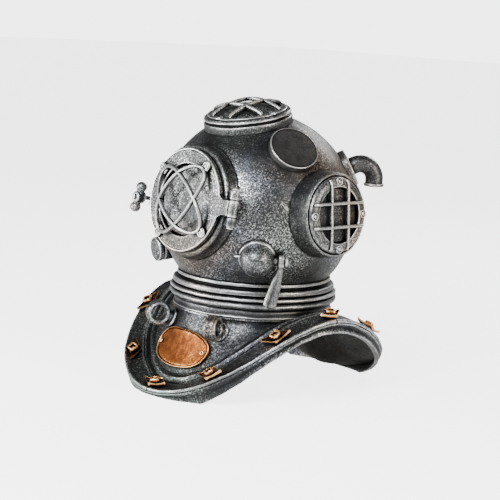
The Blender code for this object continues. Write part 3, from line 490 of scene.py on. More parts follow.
class Nodes:
    """Short names for building a node tree."""

    def __init__(self, name):
        self.material = bpy.data.materials.new(name)
        self.material.use_nodes = True
        self.tree = self.material.node_tree
        self.shader = self.tree.nodes["Principled BSDF"]
        self.coord = self.tree.nodes.new("ShaderNodeTexCoord")

    def link(self, a, b):
        self.tree.links.new(a, b)

    def noise(self, scale, detail=2.0, rough=0.5, distort=0.0, offset=None):
        node = self.tree.nodes.new("ShaderNodeTexNoise")
        node.inputs["Scale"].default_value = scale
        node.inputs["Detail"].default_value = detail
        node.inputs["Roughness"].default_value = rough
        node.inputs["Distortion"].default_value = distort
        source = self.coord.outputs["Object"]
        if offset:
            shift = self.tree.nodes.new("ShaderNodeVectorMath")
            shift.operation = "ADD"
            shift.inputs[1].default_value = offset
            self.link(source, shift.inputs[0])
            source = shift.outputs[0]
        self.link(source, node.inputs["Vector"])
        return node.outputs["Fac"]

    def near(self, point, full, none):
        """One close to a point of the surface, falling to zero; distances in millimetres."""
        node = self.tree.nodes.new("ShaderNodeVectorMath")
        node.operation = "DISTANCE"
        self.link(self.coord.outputs["Object"], node.inputs[0])
        node.inputs[1].default_value = tuple(c * MM for c in point)
        return self.spread(node.outputs["Value"], full * MM, none * MM, 1.0, 0.0)

    def attribute(self, name):
        node = self.tree.nodes.new("ShaderNodeAttribute")
        node.attribute_name = name
        return node.outputs["Fac"]

    def math(self, operation, a, b=None, clamp=False):
        node = self.tree.nodes.new("ShaderNodeMath")
        node.operation = operation
        node.use_clamp = clamp
        for socket, value in zip(node.inputs, (a, b)):
            if value is None:
                continue
            if isinstance(value, (int, float)):
                socket.default_value = value
            else:
                self.link(value, socket)
        return node.outputs[0]

    def spread(self, value, low, high, to_low=0.0, to_high=1.0):
        node = self.tree.nodes.new("ShaderNodeMapRange")
        node.inputs["From Min"].default_value = low
        node.inputs["From Max"].default_value = high
        node.inputs["To Min"].default_value = to_low
        node.inputs["To Max"].default_value = to_high
        self.link(value, node.inputs["Value"])
        return node.outputs["Result"]

    def ramp(self, value, stops):
        node = self.tree.nodes.new("ShaderNodeValToRGB")
        ramp = node.color_ramp
        while len(ramp.elements) < len(stops):
            ramp.elements.new(0.5)
        for element, (position, colour) in zip(ramp.elements, stops):
            element.position = position
            element.color = (*colour, 1.0)
        self.link(value, node.inputs["Fac"])
        return node.outputs["Color"]

    def mix(self, factor, a, b, blend="MIX"):
        node = self.tree.nodes.new("ShaderNodeMix")
        node.data_type = "RGBA"
        node.blend_type = blend
        for socket, value in ((node.inputs["Factor"], factor), (node.inputs["A"], a), (node.inputs["B"], b)):
            pass
        if isinstance(factor, (int, float)):
            node.inputs[0].default_value = factor
        else:
            self.link(factor, node.inputs[0])
        for index, value in ((6, a), (7, b)):
            if isinstance(value, tuple):
                node.inputs[index].default_value = (*value, 1.0)
            else:
                self.link(value, node.inputs[index])
        return node.outputs[2]

    def bump(self, *layers):
        """Stacks bumps, each a (height, distance, strength)."""
        normal = None
        for height, distance, strength in layers:
            node = self.tree.nodes.new("ShaderNodeBump")
            node.inputs["Distance"].default_value = distance * MM
            node.inputs["Strength"].default_value = strength
            self.link(height, node.inputs["Height"])
            if normal is not None:
                self.link(normal, node.inputs["Normal"])
            normal = node.outputs["Normal"]
        self.link(normal, self.shader.inputs["Normal"])


def cast_metal(name, stops, base, speckle=1.0, edge_wear_and_shade_gain=1.0, metal=0.85, rough=(0.46, 0.30), veins=False, tint=0.6, grit=1.0, shade=(0.20, 0.85), stain=0.28):
    """Antique casting paint: black in the recesses, partly the antique black wash and partly painted shade, fine
    stippled metal between, dry-brushed metal on the edges.
    """
    n = Nodes(name)
    cavity = n.attribute("open_sky")
    edge_wear_and_crease_shade = n.attribute("edge_wear_and_crease_shade")
    grain = n.noise(1400.0, 2.0, 0.6)
    pits = n.noise(2300.0, 1.0, 0.5, offset=(3.1, 1.7, 0.4))
    blotch = n.noise(240.0, 3.0, 0.6, offset=(0.7, 2.3, 5.2))
    broad = n.noise(34.0, 2.0, 0.5, offset=(1.3, 0.2, 4.1))
    hue = n.noise(15.0, 1.0, 0.5, offset=(5.3, 7.7, 2.4))
    where = n.spread(broad, 0.36, 0.62, 0.35, 1.0)
    speck = n.spread(grain, 0.44, 0.76, -0.10 * speckle, 0.80 * speckle)
    fleck = n.math("MULTIPLY", n.math("SUBTRACT", pits, 0.5), 0.8 * speckle)
    stipple = n.math("MULTIPLY", n.math("ADD", speck, fleck), where)
    cloud = n.math("MULTIPLY", n.math("SUBTRACT", blotch, 0.5), stain)
    sweep = n.math("MULTIPLY", n.math("SUBTRACT", broad, 0.5), 0.42)
    # rubbed convex edges come out brighter (wear); concave creases come out darker, which is painted shade
    rubbed_and_crease_shade = n.math("MULTIPLY", edge_wear_and_crease_shade, edge_wear_and_shade_gain)
    total = n.math("ADD", stipple, n.math("ADD", cloud, sweep))
    total = n.math("ADD", total, n.math("ADD", rubbed_and_crease_shade, base))
    if veins:
        field = n.noise(70.0, 1.0, 0.5, 1.3, offset=(2.2, 8.1, 3.3))
        line = n.math("ABSOLUTE", n.math("SUBTRACT", field, 0.5))
        vein = n.spread(line, 0.0, 0.010, 1.0, 0.0)
        patch = n.near((40.0, -24.0, 99.5), 7.0, 12.0)
        vein = n.math("MULTIPLY", vein, patch)
        total = n.math("ADD", total, n.math("MULTIPLY", vein, 0.35))
    # painted shade: the value falls towards a quarter where open_sky is low, in recesses, under bars and between parts
    total = n.math("MULTIPLY", total, n.spread(cavity, shade[0], shade[1], 0.25, 1.0), clamp=True)
    colour = n.ramp(total, stops)
    hues = n.ramp(hue, [(0.30, (0.86, 1.0, 0.94)), (0.46, (0.97, 1.0, 0.99)), (0.55, (0.94, 0.98, 1.10)), (0.70, (1.22, 0.98, 0.76))])
    colour = n.mix(tint, colour, n.mix(1.0, colour, hues, "MULTIPLY"))
    # recesses go near black: partly the antique black wash, partly painted shade from open_sky
    recess_black_and_shade = n.spread(cavity, shade[0], shade[1] - 0.08, 0.0, 1.0)
    colour = n.mix(recess_black_and_shade, (0.0035, 0.0035, 0.0035), colour)
    n.link(colour, n.shader.inputs["Base Color"])
    n.shader.inputs["Metallic"].default_value = metal
    n.link(n.spread(total, 0.0, 1.0, rough[0], rough[1]), n.shader.inputs["Roughness"])
    layers = [(blotch, 0.30, 0.45), (grain, 0.11 * grit, 0.8), (pits, 0.05 * grit, 0.6)]
    if veins:
        layers.append((vein, 0.30, 0.8))
    n.bump(*layers)
    return n.material


SILVER_STOPS = [(0.05, (0.010, 0.010, 0.010)), (0.36, (0.050, 0.051, 0.050)), (0.60, (0.165, 0.166, 0.163)), (0.95, (0.72, 0.71, 0.69))]
BRIGHT_STOPS = [(0.05, (0.008, 0.008, 0.008)), (0.34, (0.060, 0.060, 0.058)), (0.60, (0.23, 0.23, 0.22)), (0.92, (0.84, 0.83, 0.81))]
COPPER_STOPS = [(0.05, (0.006, 0.002, 0.001)), (0.36, (0.070, 0.014, 0.003)), (0.62, (0.32, 0.085, 0.015)), (0.94, (1.0, 0.60, 0.26))]
PLATE_STOPS = [(0.05, (0.012, 0.004, 0.001)), (0.36, (0.085, 0.022, 0.004)), (0.62, (0.21, 0.060, 0.010)), (0.94, (0.70, 0.34, 0.13))]

# shade sets the open_sky range over which each paint is darkened and blackened: painted shade in recesses, beside bars
# and between parts
M_DOME = cast_metal("dome_paint", SILVER_STOPS, 0.31, veins=True, tint=0.95)
M_SILVER = cast_metal("cast_silver", SILVER_STOPS, 0.32, speckle=0.75, edge_wear_and_shade_gain=1.3)
M_FRAME = cast_metal("frame_paint", SILVER_STOPS, 0.24, speckle=0.7, edge_wear_and_shade_gain=1.0, shade=(0.30, 0.90))
M_RING = cast_metal("ring_paint", SILVER_STOPS, 0.30, speckle=0.40, edge_wear_and_shade_gain=1.6, tint=0.5, shade=(0.30, 0.90), grit=0.7)
M_SADDLE = cast_metal("saddle_paint", SILVER_STOPS, 0.19, speckle=0.8, edge_wear_and_shade_gain=1.7, tint=0.8)
M_BRIGHT = cast_metal("brushed_edges", BRIGHT_STOPS, 0.34, speckle=0.5, edge_wear_and_shade_gain=1.1, tint=0.3, shade=(0.50, 1.0))
M_DOOR = cast_metal("door_paint", SILVER_STOPS, 0.30, speckle=0.9, edge_wear_and_shade_gain=1.5, tint=0.4, shade=(0.35, 0.95))
M_DISC = cast_metal("disc_paint", SILVER_STOPS, 0.48, speckle=0.25, edge_wear_and_shade_gain=1.3, tint=0.25, grit=0.3)
M_PANE = cast_metal("pane_paint", SILVER_STOPS, 0.36, speckle=1.1, tint=0.5, shade=(0.25, 0.95), stain=0.15)
M_COPPER = cast_metal("copper_paint", COPPER_STOPS, 0.30, speckle=0.45, edge_wear_and_shade_gain=1.9, rough=(0.42, 0.26), tint=0.0, shade=(0.40, 0.95))
M_PLATE = cast_metal("plate_copper", PLATE_STOPS, 0.42, speckle=0.35, edge_wear_and_shade_gain=1.4, metal=0.92, rough=(0.5, 0.36), tint=0.1, grit=0.5, stain=0.9)


def plain_plastic(name, colour, rough, grain_scale=900.0, transmission=0.0, bump=0.05):
    n = Nodes(name)
    tone = n.noise(grain_scale, 2.0, 0.5)
    cloud = n.noise(60.0, 2.0, 0.5, offset=(2.0, 4.0, 1.0))
    dark = tuple(c * 0.7 for c in colour)
    light = tuple(min(1.0, c * 1.2) for c in colour)
    shade = n.ramp(n.math("ADD", n.math("MULTIPLY", tone, 0.5), n.math("MULTIPLY", cloud, 0.5)), [(0.3, dark), (0.7, light)])
    n.link(shade, n.shader.inputs["Base Color"])
    n.shader.inputs["Roughness"].default_value = rough
    n.shader.inputs["Transmission Weight"].default_value = transmission
    n.bump((tone, bump, 0.6))
    return n.material


M_PLASTIC = plain_plastic("inlet_plastic_black", (0.030, 0.030, 0.032), 0.42)
M_TUBE = plain_plastic("silicone_tube", (0.62, 0.68, 0.68), 0.30, transmission=0.35)
M_STONE = plain_plastic("porous_stone", (0.30, 0.34, 0.40), 0.95, grain_scale=420.0, bump=0.7)


# ---------------------------------------------------------------- bonnet


def cut_bore(obj, radius, low, high, matrix):
    """Bores a round hole through a finished piece."""
    bm = bmesh.new()
    lift = Matrix.Translation((0.0, 0.0, (low + high) / 2.0 * MM))
    bmesh.ops.create_cone(bm, cap_ends=True, segments=128, radius1=radius * MM, radius2=radius * MM, depth=(high - low) * MM, matrix=lift)
    mesh = bpy.data.meshes.new("bore")
    bm.to_mesh(mesh)
    bm.free()
    tool = bpy.data.objects.new("bore", mesh)
    bpy.context.scene.collection.objects.link(tool)
    scaled = matrix.copy()
    scaled.translation = scaled.translation * MM
    tool.matrix_world = scaled
    modifier = obj.modifiers.new("bore", "BOOLEAN")
    modifier.operation = "DIFFERENCE"
    modifier.solver = "EXACT"
    modifier.object = tool
    bpy.context.view_layer.update()
    result = bpy.data.meshes.new_from_object(obj.evaluated_get(bpy.context.evaluated_depsgraph_get()))
    obj.modifiers.clear()
    obj.data = result
    result.shade_smooth()
    result.set_sharp_from_angle(angle=math.radians(50.0))
    bpy.data.objects.remove(tool, do_unlink=True)


def build_bonnet():
    inner_r = DOME_R - DOME_WALL
    foot = DOME_FOOT_Z - DOME_Z
    outer_end = math.acos(foot / DOME_R)
    inner_end = math.acos(foot / inner_r)
    rows_out = 60 * FINE
    profile = [(DOME_R * math.sin(t), DOME_R * math.cos(t)) for t in np.linspace(0.0, outer_end, rows_out)]
    profile += [(inner_r * math.sin(t), inner_r * math.cos(t)) for t in np.linspace(inner_end, 0.0, 30)]
    dome = Piece().lathe(profile, move(0, 0, DOME_Z), seg=140 * FINE, closed=False, round_off=0, step=9.0)
    obj = dome.finish("dome_shell", "bonnet", "bonnet", "antique_silver", M_DOME, cast=0.12)
    cut_bore(obj, 20.5, 30.0, 60.0, FRONT)


def build_rings():
    top = DOME_FOOT_Z - 0.3
    foot = BONNET_RING_FOOT
    bonnet_ring = [
        (38.0, top + 0.3), (38.5, top - 0.2), (38.5, top - 1.3), (37.3, top - 1.9), (37.2, top - 2.6), (39.9, top - 3.0),
        (40.5, top - 3.5), (40.6, top - 5.1), (40.0, top - 5.7), (39.2, top - 6.0), (40.8, top - 6.3), (41.7, foot + 1.6),
        (41.7, foot + 0.8), (41.0, foot + 0.1), (40.0, foot), (RING_BORE, foot), (RING_BORE, top),
    ]
    seg = 150 * FINE
    Piece().lathe(bonnet_ring, None, seg, round_off=0.35, step=1.2).finish(
        "bonnet_ring_cast", "bonnet_ring", "bonnet", "antique_silver", M_RING, cast=0.09)
    top = NECK_RING_TOP
    foot = NECK_RING_FOOT
    neck_ring = [
        (34.7, top + 4.0), (34.7, top), (40.2, top), (41.2, top - 0.3), (41.9, top - 1.2), (41.8, top - 2.1),
        (41.0, top - 3.0), (39.9, top - 3.4), (39.3, top - 3.9), (39.6, top - 4.6), (39.5, foot + 1.5), (39.8, foot + 0.8),
        (40.1, foot + 0.3), (39.6, foot), (NECK_BORE, foot), (NECK_BORE, top + 4.0),
    ]
    Piece().lathe(neck_ring, None, seg, round_off=0.35, step=1.2).finish(
        "neck_ring_cast", "neck_ring", "base", "antique_silver", M_RING, cast=0.09)


def guard_bars(piece, matrix, end, levels, spacing, width):
    """Two crossed pairs of bars; levels are their heights at the ends, near them, half-way and in the middle."""
    shares = (1.0, 0.86, 0.45, 0.0)
    half = [(end * share, level) for share, level in zip(shares, levels)]
    run = [(-y, z) for y, z in half] + half[-2::-1]
    for turn in (0.0, 90.0):
        for sign in (-1, 1):
            path = smooth_path([(spacing * sign, y, z) for y, z in run], 30 * FINE)
            piece.sweep(path, lambda t: oval(width, 2.1, 14, 2.8), matrix @ spin(turn))


def guard_screws(piece, matrix, radius, level):
    for quarter in range(4):
        place = matrix @ spin(90.0 * quarter) @ move(radius, 0.0, level)
        piece.lathe([(1.45, 0.35), (1.95, 0.35), (2.1, -0.3), (1.45, -0.3)], place, 24, round_off=0.15, step=0.3)
        piece.screw(0.95, place @ move(0.0, 0.0, 0.05), 0.6)


def build_side_window(side):
    tag = "left" if side > 0 else "right"
    m = dome_frame(90.0 * side, SIDE_ELEVATION)
    frame_profile = [
        (18.6, 54.1), (18.75, 54.5), (19.1, 54.8), (19.6, 54.75), (20.1, 54.2), (20.35, 53.2), (20.6, 50.5), (20.7, 45.5),
    ] + seated(12.6, 20.9, 48.3) + [(12.6, 52.6), (13.4, 52.7), (13.4, 53.9), (18.5, 53.9)]
    Piece().lathe(frame_profile, m, 72 * FINE, round_off=0.22, step=1.1).finish(
        "side_window_cast_" + tag, "side_window_frame_" + tag, "bonnet", "antique_silver", M_FRAME, cast=0.10)
    pane = [(0.0, 54.95), (5.0, 54.95), (9.0, 54.9), (12.7, 54.75), (13.05, 54.4), (13.05, 53.1), (0.0, 53.1)]
    Piece().lathe(pane, m, 56 * FINE, closed=False, round_off=0.2, step=0.6).finish(
        "side_light_" + tag, "side_pane_" + tag, "bonnet", "pane_grey", M_PANE, cast=0.10)
    ring = [
        (18.3, 54.9), (18.25, 54.3), (13.45, 54.3), (13.45, 56.8), (13.7, 57.0), (15.3, 56.95), (16.7, 56.5), (17.7, 55.8),
    ]
    guard = Piece().lathe(ring, m, 80 * FINE, round_off=0.2, step=0.55)
    guard_bars(guard, m, 16.3, (56.0, 56.75, 56.9, 56.95), 5.6, 1.6)
    guard_screws(guard, m, 16.1, 56.75)
    guard.finish("side_guard_" + tag, "side_grille_" + tag, "bonnet", "worn_silver", M_DOOR, cast=0.08)


def build_top_window():
    profile = [
        (16.7, 50.3), (17.0, 50.5), (19.8, 50.4), (21.2, 50.0), (21.75, 49.3), (21.6, 48.7), (20.8, 48.4), (20.5, 48.0),
        (20.9, 47.6), (21.8, 47.2), (22.0, 46.6), (21.9, 43.0),
    ] + seated(14.4, 21.9, 48.3) + [(14.4, 48.4), (16.7, 48.5)]
    Piece().lathe(profile, TOP, 80 * FINE, round_off=0.25, step=1.1).finish(
        "top_window_cast", "top_window_frame", "bonnet", "antique_silver", M_SILVER, cast=0.13)
    pane = [
        (0.0, 53.7), (3.0, 53.6), (6.0, 53.25), (9.0, 52.7), (12.0, 51.9), (14.5, 51.0), (16.0, 50.2), (16.25, 49.7), (16.25, 48.7),
        (0.0, 48.7),
    ]
    Piece().lathe(pane, TOP, 56 * FINE, closed=False, round_off=0.2, step=0.7).finish(
        "top_light", "top_pane", "bonnet", "pane_grey", M_PANE, cast=0.12)
    ring = [(19.6, 51.0), (19.75, 50.65), (17.0, 50.65), (17.0, 51.25), (17.3, 51.4), (18.3, 51.4)]
    guard = Piece().lathe(ring, TOP, 72 * FINE, round_off=0.2, step=0.6)
    guard_bars(guard, TOP, 17.0, (51.2, 52.7, 54.6, 55.2), 6.0, 1.5)
    guard_screws(guard, TOP, 18.3, 51.1)
    guard.finish("top_guard", "top_grille", "bonnet", "worn_silver", M_DOOR, cast=0.10)


def build_disc():
    m = dome_frame(*DISC_AXIS)
    profile = [(0.0, 51.0), (11.45, 51.0), (11.6, 51.08), (11.85, 51.05), (12.0, 50.8), (11.95, 49.9), (11.8, 46.0)]
    profile += [(0.0, 46.0)]
    Piece().lathe(profile, m, 72 * FINE, closed=False, round_off=0.08, step=0.7).finish(
        "telephone_boss", "telephone_disc", "bonnet", "antique_silver", M_DISC, cast=0.07)


def build_gooseneck(side):
    tag = "left" if side > 0 else "right"
    azimuth = GOOSENECK_AXIS[0] * side
    elevation = GOOSENECK_AXIS[1]
    rise = math.radians(elevation)
    out = direction(azimuth, elevation)
    level = direction(azimuth, 0.0)
    bend = Vector((0, 0, DOME_Z)) + out * 53.2
    path = [Vector((0, 0, DOME_Z)) + out * d for d in (47.0, 49.0, 51.0)] + [bend]
    for step in range(1, 15 * FINE + 1):
        heading = math.radians(elevation - (90.0 + elevation) * step / (15.0 * FINE))
        path.append(bend + level * PIPE_BEND_R * (math.sin(rise) - math.sin(heading)) + Vector((0, 0, PIPE_BEND_R * (math.cos(heading) - math.cos(rise)))))
    last = path[-1].copy()
    path += [last + Vector((0, 0, -1.4)), last + Vector((0, 0, -2.8)), last + Vector((0, 0, -3.9))]
    side_axis = level.cross(Vector((0, 0, 1)))
    pipe = Piece()
    ring = 32
    for radius in (PIPE_R, PIPE_BORE_R):
        rows = []
        for i, point in enumerate(path):
            ahead = path[min(i + 1, len(path) - 1)] - path[max(i - 1, 0)]
            ahead.normalize()
            lift = side_axis.cross(ahead)
            rows.append([
                tuple(point + (side_axis * math.cos(a) + lift * math.sin(a)) * radius)
                for a in np.linspace(0, 2 * math.pi, ring, endpoint=False)
            ])
        pipe.grid(rows, False, True)
    lip = [(PIPE_BORE_R, 0.1), (PIPE_BORE_R + 0.1, 1.6), (4.9, 1.6), (5.05, 1.2), (5.05, 0.5), (4.7, 0.0)]
    pipe.lathe(lip, move(*path[-1]), 40, round_off=0.2, step=0.8)
    flange = [(4.0, 51.4), (5.0, 51.3), (8.4, 51.05), (8.9, 51.2), (9.4, 50.8), (9.4, 47.0), (4.0, 47.0)]
    pipe.lathe(flange, dome_frame(azimuth, elevation), 48, round_off=0.25, step=1.0)
    pipe.finish("gooseneck_cast_" + tag, "gooseneck_" + tag, "bonnet", "antique_silver", M_SILVER, cast=0.10)


def build_exhaust():
    seat = direction(*EXHAUST_SEAT) * DOME_R
    m = move(seat.x, seat.y, seat.z + DOME_Z) @ facing(*EXHAUST_AIM)
    body = Piece().lathe(
        [(0, 6.6), (5.4, 6.6), (5.9, 6.3), (6.1, 5.6), (6.15, 0.0), (6.2, -5.5), (0, -5.5)], m, 64, closed=False, round_off=0.3, step=1.0)
    body.finish("exhaust_drum", "exhaust_valve_body", "bonnet", "antique_silver", M_SILVER, cast=0.12)
    knob = [
        (0, 10.1), (2.2, 10.0), (4.0, 9.75), (5.1, 9.4), (5.45, 9.35), (5.8, 9.5), (6.1, 9.2), (6.2, 8.6), (6.2, 7.4), (5.8, 6.9),
        (0, 6.9),
    ]
    Piece().lathe(knob, m, 64, closed=False, round_off=0.2, step=0.7).finish(
        "exhaust_knob_cast", "exhaust_valve_knob", "exhaust_knob", "antique_silver", M_DOOR, cast=0.10)


def build_spitcock():
    azimuth, elevation = SPITCOCK_AXIS
    seat = dome_frame(azimuth, elevation)
    centre = Vector((0, 0, DOME_Z)) + direction(azimuth, elevation) * 51.6
    stub = move(*centre) @ facing(azimuth + 90.0, 0.0)
    body = Piece().ball((SPITCOCK_R,) * 3, seat @ move(0, 0, 51.6), 48)
    body.lathe([(8.1, 50.4), (8.7, 50.1), (8.9, 49.5), (8.8, 46.0), (6.5, 46.0), (6.5, 50.0)], seat, 56, round_off=0.25, step=1.0)
    body.lathe([(0, 14.5), (1.5, 14.5), (1.7, 14.0), (1.7, 4.0), (0, 4.0)], stub, 24, closed=False, round_off=0.15, step=1.2)
    body.lathe([(0, 15.1), (1.7, 15.0), (2.4, 14.4), (2.5, 13.5), (0, 13.5)], stub, 24, closed=False, round_off=0.2, step=0.8)
    loop = stub @ move(0.0, 1.6, -8.6) @ spin(90.0, "X")
    circle = [(1.7 * math.cos(a), 1.7 * math.sin(a), 0.0) for a in np.linspace(0, 2 * math.pi, 28, endpoint=False)]
    body.sweep(circle, lambda t: oval(1.15, 1.15, 10, 2.0), loop, closed=True)
    body.finish("spitcock_cast", "spitcock_body", "bonnet", "antique_silver", M_SILVER, cast=0.10)
    lever = Piece()
    head = [(-2.5, -2.7), (2.4, -2.7), (2.8, 2.2), (1.3, 2.9), (-1.5, 2.9), (-2.7, 2.0)]
    lever.slab(subdivide(soften(head, 0.8), 0.8), 9.9, 12.9, stub, bevel=0.7)
    lever.lathe([(0, 13.6), (1.2, 13.5), (1.7, 12.9), (1.7, 12.5), (0, 12.5)], stub, 24, closed=False, round_off=0.2, step=0.6)
    key = [
        (0.0, -1.6, 11.4), (0.6, -4.0, 11.1), (1.4, -7.5, 10.5), (2.1, -12.0, 9.6), (2.3, -17.0, 8.4), (2.1, -21.4, 7.4), (1.9, -23.2, 7.0),
    ]

    def club(t):
        """Slim neck that swells into a rounded paddle with a hollow down its face."""
        swell = math.sin(min(1.0, t / 0.82) * math.pi / 2.0) ** 2.4
        width = 2.7 + 3.8 * swell
        thick = 2.5 + 1.3 * swell
        if t > 0.82:
            fall = math.sqrt(max(0.03, 1.0 - ((t - 0.82) / 0.185) ** 2))
            width *= fall
            thick *= fall
        points = []
        for x, y in oval(thick, width, 32, 2.1):
            dent = 0.75 * swell * bell(y, -0.08 * width, 0.10 * width) * (1.0 if x > 0.0 else 0.0)
            points.append((x - dent, y))
        return points

    lever.sweep(smooth_path(key, 60), club, stub, up=(0, 0, 1))
    lever.finish("spitcock_lever_cast", "spitcock_lever", "spitcock_lever", "worn_silver", M_BRIGHT, cast=0.06)


# ---------------------------------------------------------------- front window


def hinge_frame():
    return FRONT @ move(HINGE_X, 0.0, HINGE_N) @ spin(-90.0, "X")


def knuckle(piece, low, high, radius=2.25):
    profile = [
        (0.0, high), (radius - 0.3, high), (radius, high - 0.3), (radius, low + 0.3), (radius - 0.3, low), (0.0, low),
    ]
    piece.lathe(profile, hinge_frame(), 28, closed=False, round_off=0.12, step=0.9)


def build_front_frame():
    profile = [
        (20.9, 46.6), (25.3, 46.6), (26.3, 46.5), (27.0, 46.0), (27.2, 45.2), (27.0, 44.2), (27.3, 42.5), (28.2, 40.8), (28.5, 38.5),
    ] + seated(20.9, 28.5, 48.4)
    frame_piece = Piece().lathe(profile, FRONT, 96 * FINE, round_off=0.3, step=1.2)
    for low, high in ((4.3, 8.5), (-8.5, -4.3)):
        knuckle(frame_piece, low, high)
        arm = [(24.0, low + 0.3), (31.5, low + 0.2), (31.5, high - 0.2), (24.0, high - 0.3)]
        tilt = FRONT @ move(28.0, 0.0, 44.4) @ spin(-20.0, "Y") @ move(-28.0, 0.0, 0.0)
        frame_piece.slab(subdivide(arm, 1.2), -1.3, 1.5, tilt, bevel=0.35)
    for sign in (-1, 1):
        ear = [
            (LATCH[0] - 1.8, -1.0), (LATCH[0] - 1.2, -1.7), (-26.0, -1.7), (-26.0, 1.7), (LATCH[0] - 1.2, 1.7), (LATCH[0] - 1.8, 1.0),
        ]
        place = FRONT @ move(0.0, LATCH[1] + 2.6 * sign, LATCH[2]) @ spin(90.0, "X")
        frame_piece.slab(subdivide(soften(ear, 0.8), 1.0), -0.65, 0.65, place, bevel=0.2)
    frame_piece.finish("front_window_cast", "front_window_frame", "bonnet", "antique_silver", M_FRAME, cast=0.12)


def strap_reach(turn):
    """Outer radius of the door, which runs out to the hinge between two hollow corners."""
    a = abs((turn + 180.0) % 360.0 - 180.0)
    if a < 6.8:
        return 31.3 / math.cos(math.radians(a))
    return DOOR_R + 3.1 * max(0.0, 1.0 - (a - 6.8) / 7.5) ** 2.0


def build_door():
    profile = [
        (17.55, 49.0), (17.75, 49.35), (18.1, 49.4), (23.6, 49.3), (23.9, 49.25), (24.2, 49.45), (24.6, 49.5), (24.9, 49.1),
        (24.8, 46.95), (20.2, 46.9), (20.2, 44.9), (15.6, 44.9), (15.6, 45.7), (17.5, 45.7),
    ]
    door = Piece()
    outline = subdivide(soften(profile, 0.12), 0.55)
    near_strap = np.linspace(-16.0, 16.0, 65)
    turns = list(near_strap) + list(np.linspace(16.0, 344.0, 80 * FINE + 1))[1:-1]
    rows = []
    for turn in turns:
        shift = strap_reach(turn) - DOOR_R
        flat = min(1.0, shift / 1.5)
        row = []
        for r, z in outline:
            r += shift * min(1.0, max(0.0, (r - 20.0) / (DOOR_R - 20.0)))
            if z > 49.0:
                z += (49.36 - z) * flat
            row.append((r * math.cos(math.radians(turn)), r * math.sin(math.radians(turn)), z))
        rows.append(row)
    door.grid(rows, True, True, FRONT)
    knuckle(door, -3.9, 3.9, 2.3)
    door.finish("door_cast", "door", "door", "antique_silver", M_DOOR, cast=0.07)
    pane = [(0.0, 47.8), (6.0, 47.75), (12.0, 47.6), (16.6, 47.4), (17.1, 47.2), (17.2, 46.2), (0.0, 46.2)]
    Piece().lathe(pane, FRONT, 64 * FINE, closed=False, round_off=0.2, step=0.6).finish(
        "door_light", "door_pane", "door", "pane_grey", M_PANE, cast=0.16)
    build_loop_guard()
    pin = [(0.0, 9.7), (0.9, 9.6), (1.6, 9.2), (1.6, 8.7), (0.9, 8.6), (0.9, -8.6), (1.6, -8.7), (1.6, -9.2), (0.9, -9.6), (0.0, -9.7)]
    Piece().lathe(pin, hinge_frame(), 20, closed=False, round_off=0.15, step=1.0).finish(
        "hinge_pin_turned", "hinge_pin", "bonnet", "worn_silver", M_BRIGHT, cast=0.02)


def build_loop_guard():
    m = FRONT @ spin(GUARD_TURN)
    long_half, short_half = 20.2, 9.8
    seat = DOOR_FACE + 0.3
    guard = Piece()
    for lean in (45.0, -45.0):
        c, s = math.cos(math.radians(lean)), math.sin(math.radians(lean))
        points = []
        for step in range(64 * FINE):
            a = 2.0 * math.pi * step / (64 * FINE)
            along = long_half * math.cos(a)
            across = short_half * math.sin(a)
            bow = 1.0 + 3.9 * max(0.0, 1.0 - (math.hypot(along, across) / long_half) ** 3)
            points.append((along * c - across * s, along * s + across * c, seat + bow))
        guard.sweep(points, lambda t: oval(1.75, 2.1, 14, 2.8), m, closed=True)
    for quarter in range(4):
        local = m @ spin(45.0 + 90.0 * quarter)
        lug = [(24.4, -0.9), (24.7, 0.0), (24.4, 0.9), (23.6, 1.9), (22.3, 2.35), (20.4, 2.3), (18.6, 1.5), (18.6, -1.5), (20.4, -2.3), (22.3, -2.35), (23.6, -1.9)]
        guard.slab(subdivide(soften(lug, 0.6), 0.6), seat - 0.15, seat + 1.05, local, bevel=0.3)
        place = local @ move(22.1, 0.0, seat + 1.05)
        guard.lathe([(1.4, 0.45), (1.9, 0.45), (2.0, -0.3), (1.4, -0.3)], place, 24, round_off=0.15, step=0.3)
        guard.screw(0.9, place @ move(0.0, 0.0, 0.05), 0.6)
    guard.finish("loop_guard", "door_grille", "door", "worn_silver", M_BRIGHT, cast=0.07)


